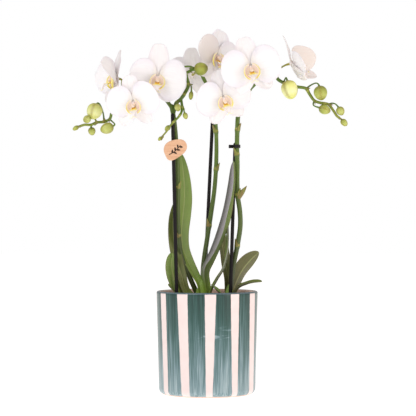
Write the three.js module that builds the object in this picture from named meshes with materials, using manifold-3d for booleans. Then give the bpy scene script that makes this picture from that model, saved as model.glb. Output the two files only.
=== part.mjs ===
// A potted moth orchid (Phalaenopsis): a striped cachepot, the nursery pot and bark inside it, two
// leafy crowns, three flower spikes on stakes, eight flowers, the buds, three clips and a name tag.
// Millimetres, +Z up. The origin is the centre of the pot's underside, and -Y is the front.
// Everything that grows is placed from the centre of the pot's rim, so it rises with the pot.
import * as THREE from 'three';
import { mergeVertices } from 'three/addons/utils/BufferGeometryUtils.js';
import Module from 'manifold-3d';

const wasm = await Module();
wasm.setup();

// ---- Driving dimensions ----
const GAP = 0.3; // clearance between pieces that touch
const SEAM = 0.08; // joins are smoothed to within this much
const WELD = 0.001; // corners closer than this are one corner

const POT_HEIGHT = 112;
const POT_TOP_RADIUS = 55;
const POT_BASE_RADIUS = 52.5;
const POT_WALL = 4;
const POT_FLOOR = 5;
const POT_FOOT_ROUNDING = 7;

const NURSERY_BELOW_RIM = 16.7; // from the pot's rim down to the nursery pot's
const NURSERY_TOP_PLAY = 5; // between the nursery pot and the pot's inside, at the rim
const NURSERY_FOOT_PLAY = 8.5; // and at the floor
const NURSERY_WALL = 1.2;
const BARK_BELOW_NURSERY_RIM = 3;
const BARK_DOME = 2.5;

const STAKE_DIAMETER = 4;
const STAKE_FROM_RIM = 10.25; // from the nursery pot's rim in to the left stake, and its
const STAKE_BEARING = 203.05; // direction from the middle, in degrees round from +X
const STAKE_OFF_FLOOR = 16; // how far above the nursery pot's floor a stake ends
const CLIP_BAND = 1.3;
const CLIP_HEIGHT = 3.6;
const CLIP_WING = 5;
const CLIP_SPREAD = 16; // each wing's lean away from the other, in degrees
const TAG_WIDTH = 25;
const TAG_HEIGHT = 23;
const TAG_THICKNESS = 1.4;
const TAG_ASIDE = 2.2; // how far the tag's middle stands to the right of its stake

const CROWN_RADIUS = 5.6;
const CROWN_HEIGHT = 36;
const CROWN_SUNK = { left: 4, right: 9 }; // how far the crowns reach down into the bark
const LEAF_THICKNESS = 1.8;
const SPIKE_BASE_RADIUS = 2.8;
const SPIKE_TOP_RADIUS = 2.4;
const ARM_RADIUS = 2.1;
const ARM_TIP_RADIUS = 1.4;
const PEDICEL_RADIUS = 1.05;
const BUD_STALK_RADIUS = 0.9;

const FLOWER_REACH = 31; // from the flower's centre to the tip of a petal
const TEPAL_THICKNESS = 0.9;
const LIP_THICKNESS = 1.3;
const RECEPTACLE_RADIUS = 3;
const RECEPTACLE_DEPTH = 3.6; // how far the flower's back stands behind its centre
const COLUMN_RADIUS = 2.2;
const LIP_SIDE_LOBE = 12; // from the lip's keel to the top edge of a side lobe
const LIP_MIDDLE_LOBE = 4.6; // half the middle lobe's width
const LIP_THROAT = 4.6; // where a side lobe turns up, out from the keel
const LIP_LOBE_WAY = { out: 0.5, up: 0.8, forward: 0.35 }; // the way that a side lobe turns

// ---- Places worked out from them ----
const NURSERY_FLOOR_Z = POT_FLOOR + GAP;
const NURSERY_RIM_Z = POT_HEIGHT - NURSERY_BELOW_RIM;
const NURSERY_TOP_RADIUS = POT_TOP_RADIUS - POT_WALL - NURSERY_TOP_PLAY;
const NURSERY_BASE_RADIUS = POT_BASE_RADIUS - 2 * POT_WALL - NURSERY_FOOT_PLAY;
const BARK_TOP_Z = NURSERY_RIM_Z - BARK_BELOW_NURSERY_RIM;
const BARK_TOP = BARK_TOP_Z - POT_HEIGHT; // heights that grow are counted from the rim
const STAKE_FOOT = NURSERY_FLOOR_Z + NURSERY_WALL + STAKE_OFF_FLOOR - POT_HEIGHT;
const STAKE_RADIUS = STAKE_DIAMETER / 2;

const vector = ([x, y, z]) => new THREE.Vector3(x, y, z);
const deg = THREE.MathUtils.degToRad;

// ---- Solids ----
// A closed three.js geometry as a manifold-3d solid.
function solidOf(geometry, matrix = new THREE.Matrix4()) {
  const plain = geometry.clone().applyMatrix4(matrix);
  for (const name of Object.keys(plain.attributes)) {
    if (name !== 'position') plain.deleteAttribute(name);
  }
  const merged = mergeVertices(plain, WELD);
  return new wasm.Manifold(
    new wasm.Mesh({
      numProp: 3,
      vertProperties: merged.attributes.position.array,
      triVerts: new Uint32Array(merged.index.array),
    }),
  );
}

function geometryOf(solid) {
  const mesh = solid.getMesh();
  return new THREE.BufferGeometry()
    .setAttribute('position', new THREE.BufferAttribute(mesh.vertProperties, 3))
    .setIndex(new THREE.BufferAttribute(mesh.triVerts, 1));
}

// A trim can leave a crumb at a thin edge, joined to the rest by no more than a point: with the
// corners that lie together welded into one, the piece is the largest body.
function largestBody(solid) {
  const welded = solidOf(geometryOf(solid));
  return welded.decompose().sort((a, b) => b.volume() - a.volume())[0];
}

// One solid from several that run into each other, without the slivers along their seams.
function joined(solids) {
  return wasm.Manifold.union(solids).simplify(SEAM);
}

// A closed skin over rings of points, with a flat cap at each end.
function ringSolid(rings) {
  const size = rings[0].length;
  const positions = [];
  const index = [];
  for (const ring of rings) for (const p of ring) positions.push(p.x, p.y, p.z);
  for (let r = 0; r + 1 < rings.length; r++) {
    for (let i = 0; i < size; i++) {
      const a = r * size + i;
      const b = r * size + ((i + 1) % size);
      index.push(a, b, b + size, a, b + size, a + size);
    }
  }
  const last = (rings.length - 1) * size;
  for (let i = 1; i + 1 < size; i++) {
    index.push(0, i + 1, i, last, last + i, last + i + 1);
  }
  const geometry = new THREE.BufferGeometry()
    .setAttribute('position', new THREE.Float32BufferAttribute(positions, 3))
    .setIndex(index);
  return solidOf(geometry);
}

// A tube with a varying radius along a curve, its frame carried along so that it doesn't twist.
// Here and below, grow is how far every side stands out beyond the piece's true size.
function tube(curve, radiusAt, { sides, steps, grow = 0 }) {
  const frames = curve.computeFrenetFrames(steps, false);
  const rings = [];
  for (let i = 0; i <= steps; i++) {
    const end = i === 0 ? -grow : i === steps ? grow : 0;
    const centre = curve.getPointAt(i / steps).addScaledVector(frames.tangents[i], end);
    const radius = radiusAt(i / steps) + grow;
    rings.push(
      Array.from({ length: sides }, (_, k) => {
        const angle = (2 * Math.PI * k) / sides;
        return centre
          .clone()
          .addScaledVector(frames.normals[i], radius * Math.cos(angle))
          .addScaledVector(frames.binormals[i], radius * Math.sin(angle));
      }),
    );
  }
  return ringSolid(rings);
}

// A thin curved sheet of even thickness. point(s, t) is its middle surface: s runs from the base (0)
// to the tip (1), and t from one edge (-1) to the other (1).
function blade(point, thickness, { rows, columns, grow = 0 }) {
  const step = 1e-3;
  const midrib = (s) => point(Math.min(s + step, 1), 0).sub(point(Math.max(s - step, 0), 0));
  const edgewise = (s, t) => point(s, Math.min(t + step, 1)).sub(point(s, Math.max(t - step, -1)));
  const rings = [];
  for (let i = 0; i <= rows; i++) {
    const s = i / rows;
    const end = i === 0 ? -grow : i === rows ? grow : 0;
    const front = [];
    const back = [];
    for (let k = 0; k <= columns; k++) {
      const t = (2 * k) / columns - 1;
      const edge = k === 0 ? -grow : k === columns ? grow : 0;
      const [along, across] = [midrib(s).normalize(), edgewise(s, t).normalize()];
      const normal = across.clone().cross(along).normalize();
      const middle = point(s, t).addScaledVector(along, end).addScaledVector(across, edge);
      front.push(middle.clone().addScaledVector(normal, thickness / 2 + grow));
      back.unshift(middle.addScaledVector(normal, -thickness / 2 - grow));
    }
    rings.push([...front, ...back]);
  }
  return ringSolid(rings);
}

// ---- Pot, nursery pot and bark ----
const lathe = (profile, segments) =>
  new THREE.LatheGeometry(profile.map(([r, z]) => new THREE.Vector2(r, z)), segments).rotateX(
    Math.PI / 2,
  );

// Points on a quarter circle, from angle a to angle b, in degrees.
function arc(r, z, radius, a, b, steps = 3) {
  return Array.from({ length: steps + 1 }, (_, i) => {
    const angle = deg(a + ((b - a) * i) / steps);
    return [r + radius * Math.cos(angle), z + radius * Math.sin(angle)];
  });
}

function outerPot() {
  const lip = POT_WALL / 2;
  return lathe(
    [
      [0, 0],
      ...arc(POT_BASE_RADIUS - POT_FOOT_ROUNDING, POT_FOOT_ROUNDING, POT_FOOT_ROUNDING, -90, 0),
      ...arc(POT_TOP_RADIUS - lip, POT_HEIGHT - lip, lip, 0, 180, 4),
      [POT_BASE_RADIUS - POT_WALL, POT_FLOOR + POT_WALL],
      [POT_BASE_RADIUS - 2 * POT_WALL, POT_FLOOR],
      [0, POT_FLOOR],
    ],
    48,
  );
}

function nurseryPot() {
  const top = NURSERY_RIM_Z;
  const innerBase = NURSERY_BASE_RADIUS - NURSERY_WALL;
  return lathe(
    [
      [0, NURSERY_FLOOR_Z],
      [NURSERY_BASE_RADIUS, NURSERY_FLOOR_Z],
      [NURSERY_TOP_RADIUS - NURSERY_WALL, top - 2 * NURSERY_WALL],
      [NURSERY_TOP_RADIUS, top - 2 * NURSERY_WALL],
      [NURSERY_TOP_RADIUS, top],
      [NURSERY_TOP_RADIUS - 2 * NURSERY_WALL, top],
      [innerBase, NURSERY_FLOOR_Z + NURSERY_WALL],
      [0, NURSERY_FLOOR_Z + NURSERY_WALL],
    ],
    36,
  );
}

function barkMix() {
  const base = NURSERY_FLOOR_Z + NURSERY_WALL + GAP;
  const innerTop = NURSERY_TOP_RADIUS - 2 * NURSERY_WALL;
  const innerBase = NURSERY_BASE_RADIUS - NURSERY_WALL;
  const innerHeight = NURSERY_RIM_Z - NURSERY_FLOOR_Z - NURSERY_WALL;
  const radiusAt = (z) =>
    innerBase + ((innerTop - innerBase) * (z - NURSERY_FLOOR_Z - NURSERY_WALL)) / innerHeight;
  const slope = 3 * GAP; // the wall leans, and both skins are faceted
  return lathe(
    [
      [0, base],
      [radiusAt(base) - slope, base],
      [radiusAt(BARK_TOP_Z) - slope, BARK_TOP_Z],
      [radiusAt(BARK_TOP_Z) * 0.6, BARK_TOP_Z + BARK_DOME * 0.8],
      [0, BARK_TOP_Z + BARK_DOME],
    ],
    36,
  );
}

// ---- Crowns and leaves ----
// From here on a place is [x, y, height above the rim].
const CROWNS = {
  left: [-6, 5, BARK_TOP + CROWN_HEIGHT / 2 - CROWN_SUNK.left],
  right: [24, 3, BARK_TOP + CROWN_HEIGHT / 2 - CROWN_SUNK.right],
};

function crown(place, grow = 0) {
  const egg = new THREE.SphereGeometry(1, 10, 7).rotateX(Math.PI / 2);
  const radius = CROWN_RADIUS + grow;
  const half = CROWN_HEIGHT / 2 + grow;
  return solidOf(egg, new THREE.Matrix4().compose(
    vector(place),
    new THREE.Quaternion(),
    new THREE.Vector3(radius, radius, half),
  ));
}

// spine: the midrib from the crown to the tip. face: which way the upper side looks at the base and
// at the tip. width: at the widest. fold: how far each half rises from flat, in degrees.
// waist: the base's width as a share of the widest.
const LEAVES = {
  leaf_tall_left: {
    spine: [[-6.5, 2, -4], [-9, 3, 8], [-13.7, 5, 17], [-20.8, 6, 31], [-26.4, 5, 46],
      [-28, 4, 64], [-26.4, 3, 83], [-24.8, 3, 101], [-25.4, 3, 122], [-28.6, 4, 149]],
    face: [[0.6, -0.7, 0.3], [0.35, -0.93, 0]], width: 18, fold: 24, waist: 0.5,
  },
  leaf_front_left: {
    spine: [[-17, 2, -15], [-27, -3, -4], [-34, -7, 8], [-38, -9, 23], [-38.5, -10, 41.5]],
    face: [[0.5, -0.5, 0.7], [0.1, -0.95, 0.2]], width: 17, fold: 14, waist: 0.55,
  },
  leaf_back_left: {
    spine: [[-12, 4, -12], [-23.5, -2, 1], [-28, -5, 17], [-32, -4, 31], [-35.3, 0, 46],
      [-37.2, 3, 64], [-37, 4, 80], [-34, 5, 98]],
    face: [[0.4, -0.8, 0.4], [0.2, -0.95, 0]], width: 13, fold: 18, waist: 0.7,
  },
  leaf_stub_left: {
    spine: [[-20, 8, -15], [-31, 9, -4], [-42.5, 9, 7]],
    face: [[0.4, -0.5, 0.7], [0.3, -0.7, 0.6]], width: 8, fold: 16, waist: 0.6,
  },
  leaf_tall_right: {
    spine: [[-2, 5, -6], [-4.5, 6, 8], [-6, 6.5, 17], [-5, 6.5, 24.5], [-0.8, 6.3, 33.5],
      [4.2, 5, 44.3], [10.2, 2, 60.6], [16.2, -3, 80.5], [20.3, -4, 98.7],
      [23.5, -4, 117.2], [26.2, -3, 134.6], [28.5, -3, 141.3]],
    face: [[0.75, -0.6, 0.25], [0.95, -0.25, 0.1]], width: 20.6, fold: 60, waist: 0.8,
  },
  leaf_back_right: {
    spine: [[22.8, 8, -8], [22.6, 14, 13.4], [19.6, 18, 30.8], [16.5, 20, 49.4], [14.5, 21, 70.3]],
    face: [[0.4, -0.9, 0.4], [0.7, -0.7, 0.2]], width: 15, fold: 22, waist: 0.6,
  },
  leaf_inner_right: {
    spine: [[0, -3, -12], [5, -5, 2], [11, -6, 13], [17.5, -6, 24], [21.3, -4, 38],
      [23, 1, 55.3], [22.8, 6, 70.4], [21.5, 10, 85.6]],
    face: [[-0.6, -0.2, 0.8], [-0.95, 0.1, 0.2]], width: 11, fold: 20, waist: 0.7,
  },
  leaf_wide_right: {
    spine: [[25, 5, -10], [30.5, 8, 7.2], [37.5, 10, 21.2], [46, 11, 32.1], [56.5, 12, 42]],
    face: [[-0.4, 0.7, 0.6], [-0.35, 0.85, 0.45]], width: 21, fold: 14, waist: 0.55,
  },
  leaf_low_right: {
    spine: [[26, 0, -10], [30, -4, -1], [35.8, -7, 5], [41.2, -8, 7.2], [46.6, -9, 9],
      [54.2, -10, 10], [59.5, -11, 10.4]],
    face: [[-0.4, -0.1, 0.9], [0, -0.25, 0.97]], width: 12, fold: 26, waist: 0.6,
  },
  leaf_young: {
    spine: [[22, -3, -11], [15.5, -8, -4], [9.5, -11, 2.5], [4.5, -12, 7.5]],
    face: [[0.4, -0.3, 0.9], [0.5, -0.2, 0.9]], width: 9, fold: 24, waist: 0.7,
  },
};

// A strap leaf's half width: a sheath at the base, widest past the middle, and a blunt round tip.
function leafHalfWidth(s, { width, waist }) {
  const swell = waist + (1 - waist) * Math.sin(Math.PI * Math.min(s / 1.24, 0.5));
  const tip = Math.sqrt(Math.max(1 - Math.max((s - 0.55) / 0.45, 0) ** 2.4, 0.004));
  return (width / 2) * swell * tip;
}

function leaf(spec, grow = 0) {
  const spine = new THREE.CatmullRomCurve3(spec.spine.map(vector));
  const [baseFace, tipFace] = spec.face.map((f) => vector(f).normalize());
  const fold = deg(spec.fold);
  const point = (s, t) => {
    const along = spine.getTangentAt(s);
    const across = along.clone().cross(baseFace.clone().lerp(tipFace, s)).normalize();
    const up = across.clone().cross(along).normalize();
    const reach = t * leafHalfWidth(s, spec);
    const soft = Math.hypot(reach, 1) - 1;
    return spine.getPointAt(s)
      .addScaledVector(across, reach * Math.cos(fold))
      .addScaledVector(up, soft * Math.sin(fold));
  };
  return blade(point, LEAF_THICKNESS, { rows: spec.spine.length + 1, columns: 4, grow });
}

// ---- Flowers ----
// A flower's own frame: +Z out of its face, +Y towards its top sepal. turn, tilt and roll are in
// degrees: turned to its right, tilted up, and rolled clockwise as it is looked at.
const FLOWERS = {
  flower_left_end: {
    centre: [-98.7, -8, 230], turn: -68, tilt: 2, roll: 0, size: 0.98,
    petal_left: { lift: 14, width: 1.25 },
    petal_right: { angle: 60, lift: 27, length: 0.95, width: 0.95 },
    sepal_top: { lift: -3 },
    sepal_left: { lift: 8 },
    sepal_right: { lift: 8 },
  },
  flower_left_front: {
    centre: [-78.3, -34, 202], turn: -8, tilt: -14, roll: -9, size: 0.95,
    petal_left: { angle: -74, width: 1.14 },
    petal_right: { angle: 78, width: 1.26 },
    sepal_left: { angle: -140 },
    sepal_right: { angle: 148 },
  },
  flower_left_upper: {
    centre: [-53.5, -20, 229.5], turn: 4, tilt: -8, roll: 5, size: 1,
    petal_left: { angle: -90 },
    petal_right: { angle: 94, width: 1.45 },
    sepal_top: { length: 1.2, width: 0.76 },
  },
  flower_middle_front: {
    centre: [17.6, -18, 207.5], turn: 14, tilt: -16, roll: -17, size: 1,
    petal_left: { angle: -78 },
    petal_right: { angle: 82 },
  },
  flower_middle_upper: {
    centre: [9.5, 14, 255], turn: 38, tilt: -2, roll: 10, size: 0.97,
    petal_left: { angle: -64, width: 1.02 },
    sepal_top: { angle: 6, width: 0.9 },
  },
  flower_middle_back: {
    centre: [-17, 40, 238], turn: -160, tilt: 6, roll: 3, size: 0.93,
  },
  flower_right_front: {
    centre: [46.8, -34, 239.5], turn: 4, tilt: -6, roll: -11, size: 1.04,
    sepal_top: { angle: -5, width: 0.76 },
  },
  flower_right_end: {
    centre: [92.5, -4, 247], turn: 84, tilt: 12, roll: 0, size: 0.98,
    petal_left: { angle: -108, lift: 15, length: 0.95, width: 0.98 },
    petal_right: { angle: 80, lift: 26, width: 1.05 },
    sepal_top: { lift: -2, width: 0.62 },
    sepal_left: { angle: -138, lift: 14 },
    sepal_right: { angle: 128, lift: 24 },
  },
};

// angle: from the top sepal, clockwise, in degrees. length and width are shares of FLOWER_REACH.
// lift: how far the tip comes forward. cup: how far the edges come forward. Both in millimetres.
// blunt: the roundness of its base and of its tip. A flower may differ in any of these.
const TEPALS = {
  sepal_top: { angle: 0, length: 1.04, width: 0.7, height: -1, lift: -1.5, cup: 1.2, blunt: [0.95, 0.3] },
  sepal_right: { angle: 145, length: 0.94, width: 0.6, height: -1, lift: 1, cup: 1, blunt: [0.75, 0.5] },
  sepal_left: { angle: -145, length: 0.94, width: 0.6, height: -1, lift: 1, cup: 1, blunt: [0.75, 0.5] },
  petal_right: { angle: 86, length: 1, width: 1.26, height: 1.3, lift: 4.5, cup: -1.4, blunt: [0.62, 0.42] },
  petal_left: { angle: -86, length: 1, width: 1.26, height: 1.3, lift: 4.5, cup: -1.4, blunt: [0.62, 0.42] },
};
const TEPAL_START = 0.05;

function tepal(spec, size, grow) {
  const length = FLOWER_REACH * size * spec.length;
  const halfWidth = (FLOWER_REACH * size * spec.width) / 2;
  const along = new THREE.Vector3(Math.sin(deg(spec.angle)), Math.cos(deg(spec.angle)), 0);
  const across = new THREE.Vector3(along.y, -along.x, 0);
  const [baseBlunt, tipBlunt] = spec.blunt;
  const point = (s, t) => {
    const reach = TEPAL_START + (1 - TEPAL_START) * s;
    const round = Math.max(1 - (2 * reach - 1) ** 2, 0.002);
    const half = halfWidth * round ** (baseBlunt + (tipBlunt - baseBlunt) * reach);
    return new THREE.Vector3(0, 0, spec.height)
      .addScaledVector(along, reach * length)
      .addScaledVector(across, t * half)
      .add(new THREE.Vector3(0, 0, spec.lift * reach ** 2 + spec.cup * t * t * reach));
  };
  return blade(point, TEPAL_THICKNESS, { rows: 5, columns: spec.width > 0.8 ? 4 : 2, grow });
}

// Five tepals on one receptacle, with the column standing out of the middle.
function flower({ size, ...own }, grow = 0) {
  const receptacle = solidOf(new THREE.SphereGeometry(1, 8, 5), new THREE.Matrix4().compose(
    new THREE.Vector3(0, 0, -RECEPTACLE_DEPTH / 2 + 1),
    new THREE.Quaternion(),
    new THREE.Vector3(
      RECEPTACLE_RADIUS + grow, RECEPTACLE_RADIUS + grow, RECEPTACLE_DEPTH / 2 + 1 + grow,
    ),
  ));
  const axis = new THREE.CatmullRomCurve3([[0, 0.5, 0], [0, 0, 3.5], [0, -1.6, 7]].map(vector));
  const column = tube(axis, (s) => COLUMN_RADIUS - 0.5 * s * s, { sides: 6, steps: 2, grow });
  const tepals = Object.entries(TEPALS)
    .map(([name, spec]) => tepal({ ...spec, ...own[name] }, size, grow));
  return joined([receptacle, column, ...tepals]);
}

// The lip is one sheet below the column: a middle lobe that runs forward and down to a point, and
// two side lobes near its base that turn up on either side of the column.
function lip({ size }, grow = 0) {
  const keel = new THREE.CatmullRomCurve3(
    [[0, -3.4, 2.6], [0, -5.4, 6], [0, -8, 11], [0, -12.4, 15.6]].map(vector),
  );
  const point = (s, t) => {
    const sides = LIP_SIDE_LOBE * Math.max(1 - ((s - 0.3) / 0.34) ** 2, 0) ** 0.7;
    const middle = LIP_MIDDLE_LOBE * Math.max(1 - (2 * s - 0.9) ** 2 / 1.25, 0.015) ** 0.6;
    const reach = Math.abs(t) * Math.max(sides, middle);
    const flat = Math.min(reach, LIP_THROAT);
    const upright = reach - flat;
    return keel.getPointAt(s)
      .add(new THREE.Vector3(
        Math.sign(t) * (flat + LIP_LOBE_WAY.out * upright),
        LIP_LOBE_WAY.up * upright,
        LIP_LOBE_WAY.forward * upright,
      ))
      .multiplyScalar(size);
  };
  return blade(point, LIP_THICKNESS, { rows: 6, columns: 4, grow });
}

function placeOf({ centre, turn, tilt, roll }) {
  const out = new THREE.Vector3(
    Math.sin(deg(turn)) * Math.cos(deg(tilt)),
    -Math.cos(deg(turn)) * Math.cos(deg(tilt)),
    Math.sin(deg(tilt)),
  );
  const right = new THREE.Vector3(0, 0, 1).cross(out).normalize();
  const up = out.clone().cross(right);
  return new THREE.Matrix4()
    .makeBasis(right, up, out)
    .multiply(new THREE.Matrix4().makeRotationZ(-deg(roll)))
    .setPosition(vector(centre));
}

// ---- Buds ----
// centre, length, width, and the way that the bud points.
const BUDS = {
  bud_left_1: { centre: [-121.9, -12, 194.4], length: 18, width: 17, points: [-0.3, -0.2, -0.9] },
  bud_left_2: { centre: [-108.4, -9, 176.2], length: 15, width: 12, points: [-1, -0.2, -0.4] },
  bud_left_3: { centre: [-129.6, -17, 185.5], length: 9, width: 8.4, points: [-0.5, -0.6, -0.5] },
  bud_left_4: { centre: [-125, -4, 173.2], length: 9, width: 8, points: [0.2, 0.2, -1] },
  bud_left_5: { centre: [-142.2, -8, 176.5], length: 7.5, width: 5, points: [-1, 0, -0.6] },
  bud_inner_1: { centre: [-6.4, -12, 240.4], length: 15, width: 14.4, points: [1, -0.3, 0.15] },
  bud_inner_2: { centre: [-17.4, -10, 211.6], length: 9.5, width: 5, points: [-0.1, 0, -1] },
  bud_inner_3: { centre: [-27.6, -12, 222.5], length: 10, width: 5, points: [0.3, -0.1, 1] },
  bud_inner_4: { centre: [-31.6, -14.5, 198.3], length: 8.5, width: 7, points: [0.1, -0.4, -1] },
  bud_droop_1: { centre: [-23.4, -13, 189.5], length: 7.5, width: 5.4, points: [0.3, 0, -1] },
  bud_droop_2: { centre: [-42.6, -16, 176], length: 7.5, width: 5.4, points: [-0.7, 0.2, -0.7] },
  bud_droop_3: { centre: [-50.6, -19, 164.6], length: 5.5, width: 4, points: [-0.7, 0, -0.7] },
  bud_right_1: { centre: [89, -17, 217.4], length: 21, width: 18, points: [0.25, -0.2, -1] },
  bud_right_2: { centre: [122.6, -13, 214.2], length: 16, width: 14.5, points: [0.2, -0.1, -1] },
  bud_right_3: { centre: [127.1, -12, 196.4], length: 13, width: 10.5, points: [1, -0.1, -0.35] },
  bud_right_4: { centre: [144.4, -9, 194.9], length: 10, width: 9, points: [0.5, -0.1, -0.9] },
  bud_right_5: { centre: [148.4, -8, 182.4], length: 9, width: 7, points: [0.7, 0, -0.8] },
};

function bud({ centre, length, width, points }, grow = 0) {
  const half = length / 2 + grow;
  const radius = width / 2 + grow;
  const steps = 6;
  const profile = Array.from({ length: steps + 1 }, (_, i) => {
    const angle = (Math.PI * i) / steps;
    const blunt = 1 - 0.12 * Math.cos(angle + Math.PI); // fuller towards the base
    return [radius * Math.sin(angle) * blunt, -half * Math.cos(angle)];
  });
  profile[0][0] = 0;
  profile[steps][0] = 0;
  const way = new THREE.Quaternion().setFromUnitVectors(
    new THREE.Vector3(0, 0, 1),
    vector(points).normalize(),
  );
  return solidOf(lathe(profile, 8), new THREE.Matrix4().compose(
    vector(centre), way, new THREE.Vector3(1, 1, 1),
  ));
}

// ---- Flower spikes ----
// Each spike has one or more stretches, thick to thin, and the flower and bud stalks leave them at
// the point of that number. A stalk of its own direction leaves towards `by`.
const SPIKES = {
  spike_left: {
    stretches: {
      stem: {
        path: [[-9, 9, -8], [-19.8, 5, 16.8], [-27.9, 1, 37.7], [-31.1, -6, 63.9],
          [-31.8, -8.5, 87.8], [-31.6, -9, 111.7], [-32.3, -8, 142], [-33.8, -8, 165.8],
          [-36, -7, 187.5], [-38.6, -6, 200.5]],
        radii: [SPIKE_BASE_RADIUS, SPIKE_TOP_RADIUS], steps: 14,
      },
      arm: {
        path: [[-37.4, -6.3, 197.5], [-45.6, -5, 208.2], [-54.4, -3, 214.1], [-65.3, 0, 220.4],
          [-77.4, 3, 222.3], [-88.4, 5, 218], [-98.1, 3, 207.6], [-103.4, 0, 195.4],
          [-105.7, -3, 186.6], [-112.3, -5, 183.5], [-119.8, -7, 182.6], [-125.7, -8, 180.1],
          [-132.7, -8, 180.1], [-137.1, -8, 178.8]],
        radii: [ARM_RADIUS, ARM_TIP_RADIUS], steps: 20,
      },
      inner: {
        path: [[-36.3, -6.5, 193], [-33.6, -6, 203.2], [-28.3, -7, 208.3], [-23.4, -8, 215.6],
          [-20.2, -8, 223.5], [-22.5, -8, 232.9], [-22.6, -8, 235.9], [-18.5, -7, 238.4],
          [-14.8, -6, 241.6]],
        radii: [ARM_RADIUS, 1.6], steps: 13,
      },
      droop: {
        path: [[-28.3, -7, 208.3], [-27.1, -10, 200.3], [-27.6, -13, 193.7], [-31.1, -16, 187.8],
          [-37.8, -18, 181], [-43.7, -19, 172.4], [-47.8, -19, 167.6]],
        radii: [1.5, 0.9], steps: 8,
      },
    },
    stalks: [
      ['flower_left_end', 'arm', 5, [-10, 0, 8]],
      ['flower_left_front', 'arm', 4, [0, -8, -6]],
      ['flower_left_upper', 'inner', 8, [-8, 6, 8]],
      ['bud_left_1', 'arm', 9, [2, -2, 8]],
      ['bud_left_2', 'arm', 8, [3, -2, -4]],
      ['bud_left_3', 'arm', 10, [0, -2, 4]],
      ['bud_left_4', 'arm', 10, [-1, 3, 0]],
      ['bud_left_5', 'arm', 13, [-1, 0, 0]],
      ['bud_inner_1', 'inner', 7, [2, -1, 0]],
      ['bud_inner_2', 'inner', 4, [3, 0, 3]],
      ['bud_inner_3', 'inner', 3, [-3, -3, 0]],
      ['bud_inner_4', 'inner', 1, [1, -4, 2]],
      ['bud_droop_1', 'droop', 1, [2, 0, 0]],
      ['bud_droop_2', 'droop', 4, [-1, 2, 0]],
      ['bud_droop_3', 'droop', 6, [-1, 0, -1]],
    ],
  },
  spike_middle: {
    stretches: {
      stem: {
        path: [[-4, 12, -6], [-4.3, 15, 24.3], [-0.1, 15, 55], [4.3, 15, 83.4], [8.2, 15, 111.9],
          [10.1, 14, 142.5], [9.7, 13, 177.5], [7, 12, 201.5], [2.1, 14, 219], [-4.5, 17, 233.3],
          [-9, 21, 243.3]],
        radii: [SPIKE_BASE_RADIUS, SPIKE_TOP_RADIUS * 0.8], steps: 16,
      },
    },
    stalks: [
      ['flower_middle_front', 'stem', 7, [4, -6, 4]],
      ['flower_middle_upper', 'stem', 9, [0, 2, 8]],
      ['flower_middle_back', 'stem', 10, [-2, 3, 3]],
    ],
  },
  spike_right: {
    stretches: {
      stem: {
        path: [[24, 4, -8], [28.6, 5, 26.8], [32.9, 4, 48.6], [36.1, 2, 70.4], [35.6, 1, 86.7],
          [33.3, 0, 103], [32.7, 0, 120.4], [32.9, 0, 136.7], [32.5, 0, 153], [32.9, 0, 174.8],
          [33.9, 1, 191.1], [38.5, 1, 207.5], [47, 0, 219.9]],
        radii: [SPIKE_BASE_RADIUS, SPIKE_TOP_RADIUS], steps: 16,
      },
      arm: {
        path: [[47, 0, 219.9], [56.4, -1, 228.5], [66.1, -2, 233.9], [74.1, -3, 234.4],
          [76.9, -4, 229.6], [82.3, -5, 226.1], [89.8, -6, 222.9], [98.5, -7, 221.1],
          [107.1, -8, 219.3], [110.9, -8, 213.4], [116.4, -8, 206.1], [124.4, -8, 203.5],
          [131.4, -8, 202.2], [136.3, -8, 196.1], [140.6, -8, 189.6], [143.1, -8, 187.6]],
        radii: [ARM_RADIUS, ARM_TIP_RADIUS], steps: 24,
      },
    },
    stalks: [
      ['flower_right_front', 'arm', 1, [0, -6, 4]],
      ['flower_right_end', 'arm', 3, [4, 0, 6]],
      ['bud_right_1', 'arm', 5, [3, -4, 3]],
      ['bud_right_2', 'arm', 8, [8, -2, 6]],
      ['bud_right_3', 'arm', 10, [-4, -2, -6]],
      ['bud_right_4', 'arm', 12, [6, 0, 3]],
      ['bud_right_5', 'arm', 15, [1, 0, 0]],
    ],
  },
};

// Where a stalk ends, just behind its flower or bud, and the way it arrives.
function stalkEnd(name) {
  const spec = FLOWERS[name] ?? BUDS[name];
  const centre = vector(spec.centre);
  if (FLOWERS[name]) {
    const out = new THREE.Vector3().setFromMatrixColumn(placeOf(spec), 2);
    return { end: centre.addScaledVector(out, -RECEPTACLE_DEPTH - GAP), way: out, pull: 9 };
  }
  const way = vector(spec.points).normalize();
  return { end: centre.addScaledVector(way, -spec.length / 2 - GAP), way, pull: spec.length * 0.4 };
}

function spike({ stretches, stalks }, grow = 0) {
  const solids = Object.values(stretches).map(({ path, radii, steps }) => {
    const radiusAt = (s) => radii[0] + (radii[1] - radii[0]) * s;
    return tube(new THREE.CatmullRomCurve3(path.map(vector)), radiusAt, { sides: 6, steps, grow });
  });
  for (const [name, stretch, at, by] of stalks) {
    const { end, way, pull } = stalkEnd(name);
    const start = vector(stretches[stretch].path[at]);
    const curve = new THREE.CubicBezierCurve3(
      start,
      start.clone().add(vector(by)),
      end.clone().addScaledVector(way, -pull),
      end,
    );
    const radius = FLOWERS[name] ? PEDICEL_RADIUS : BUD_STALK_RADIUS;
    solids.push(tube(curve, () => radius, { sides: 5, steps: 4, grow }));
  }
  return joined(solids);
}

// ---- Stakes, clips and tag ----
const LEFT_FOOT = new THREE.Vector3(NURSERY_TOP_RADIUS - STAKE_FROM_RIM, 0, 0)
  .applyAxisAngle(new THREE.Vector3(0, 0, 1), deg(STAKE_BEARING))
  .toArray();
const STAKES = {
  stake_left: { foot: LEFT_FOOT, top: [-37.3, -14.5, 192] },
  stake_middle: { foot: [-3, 23, 0], top: [5.9, 21.5, 184.5] },
  stake_right: { foot: [25.4, -4.5, 0], top: [30.6, 6.2, 161] },
};

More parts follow.
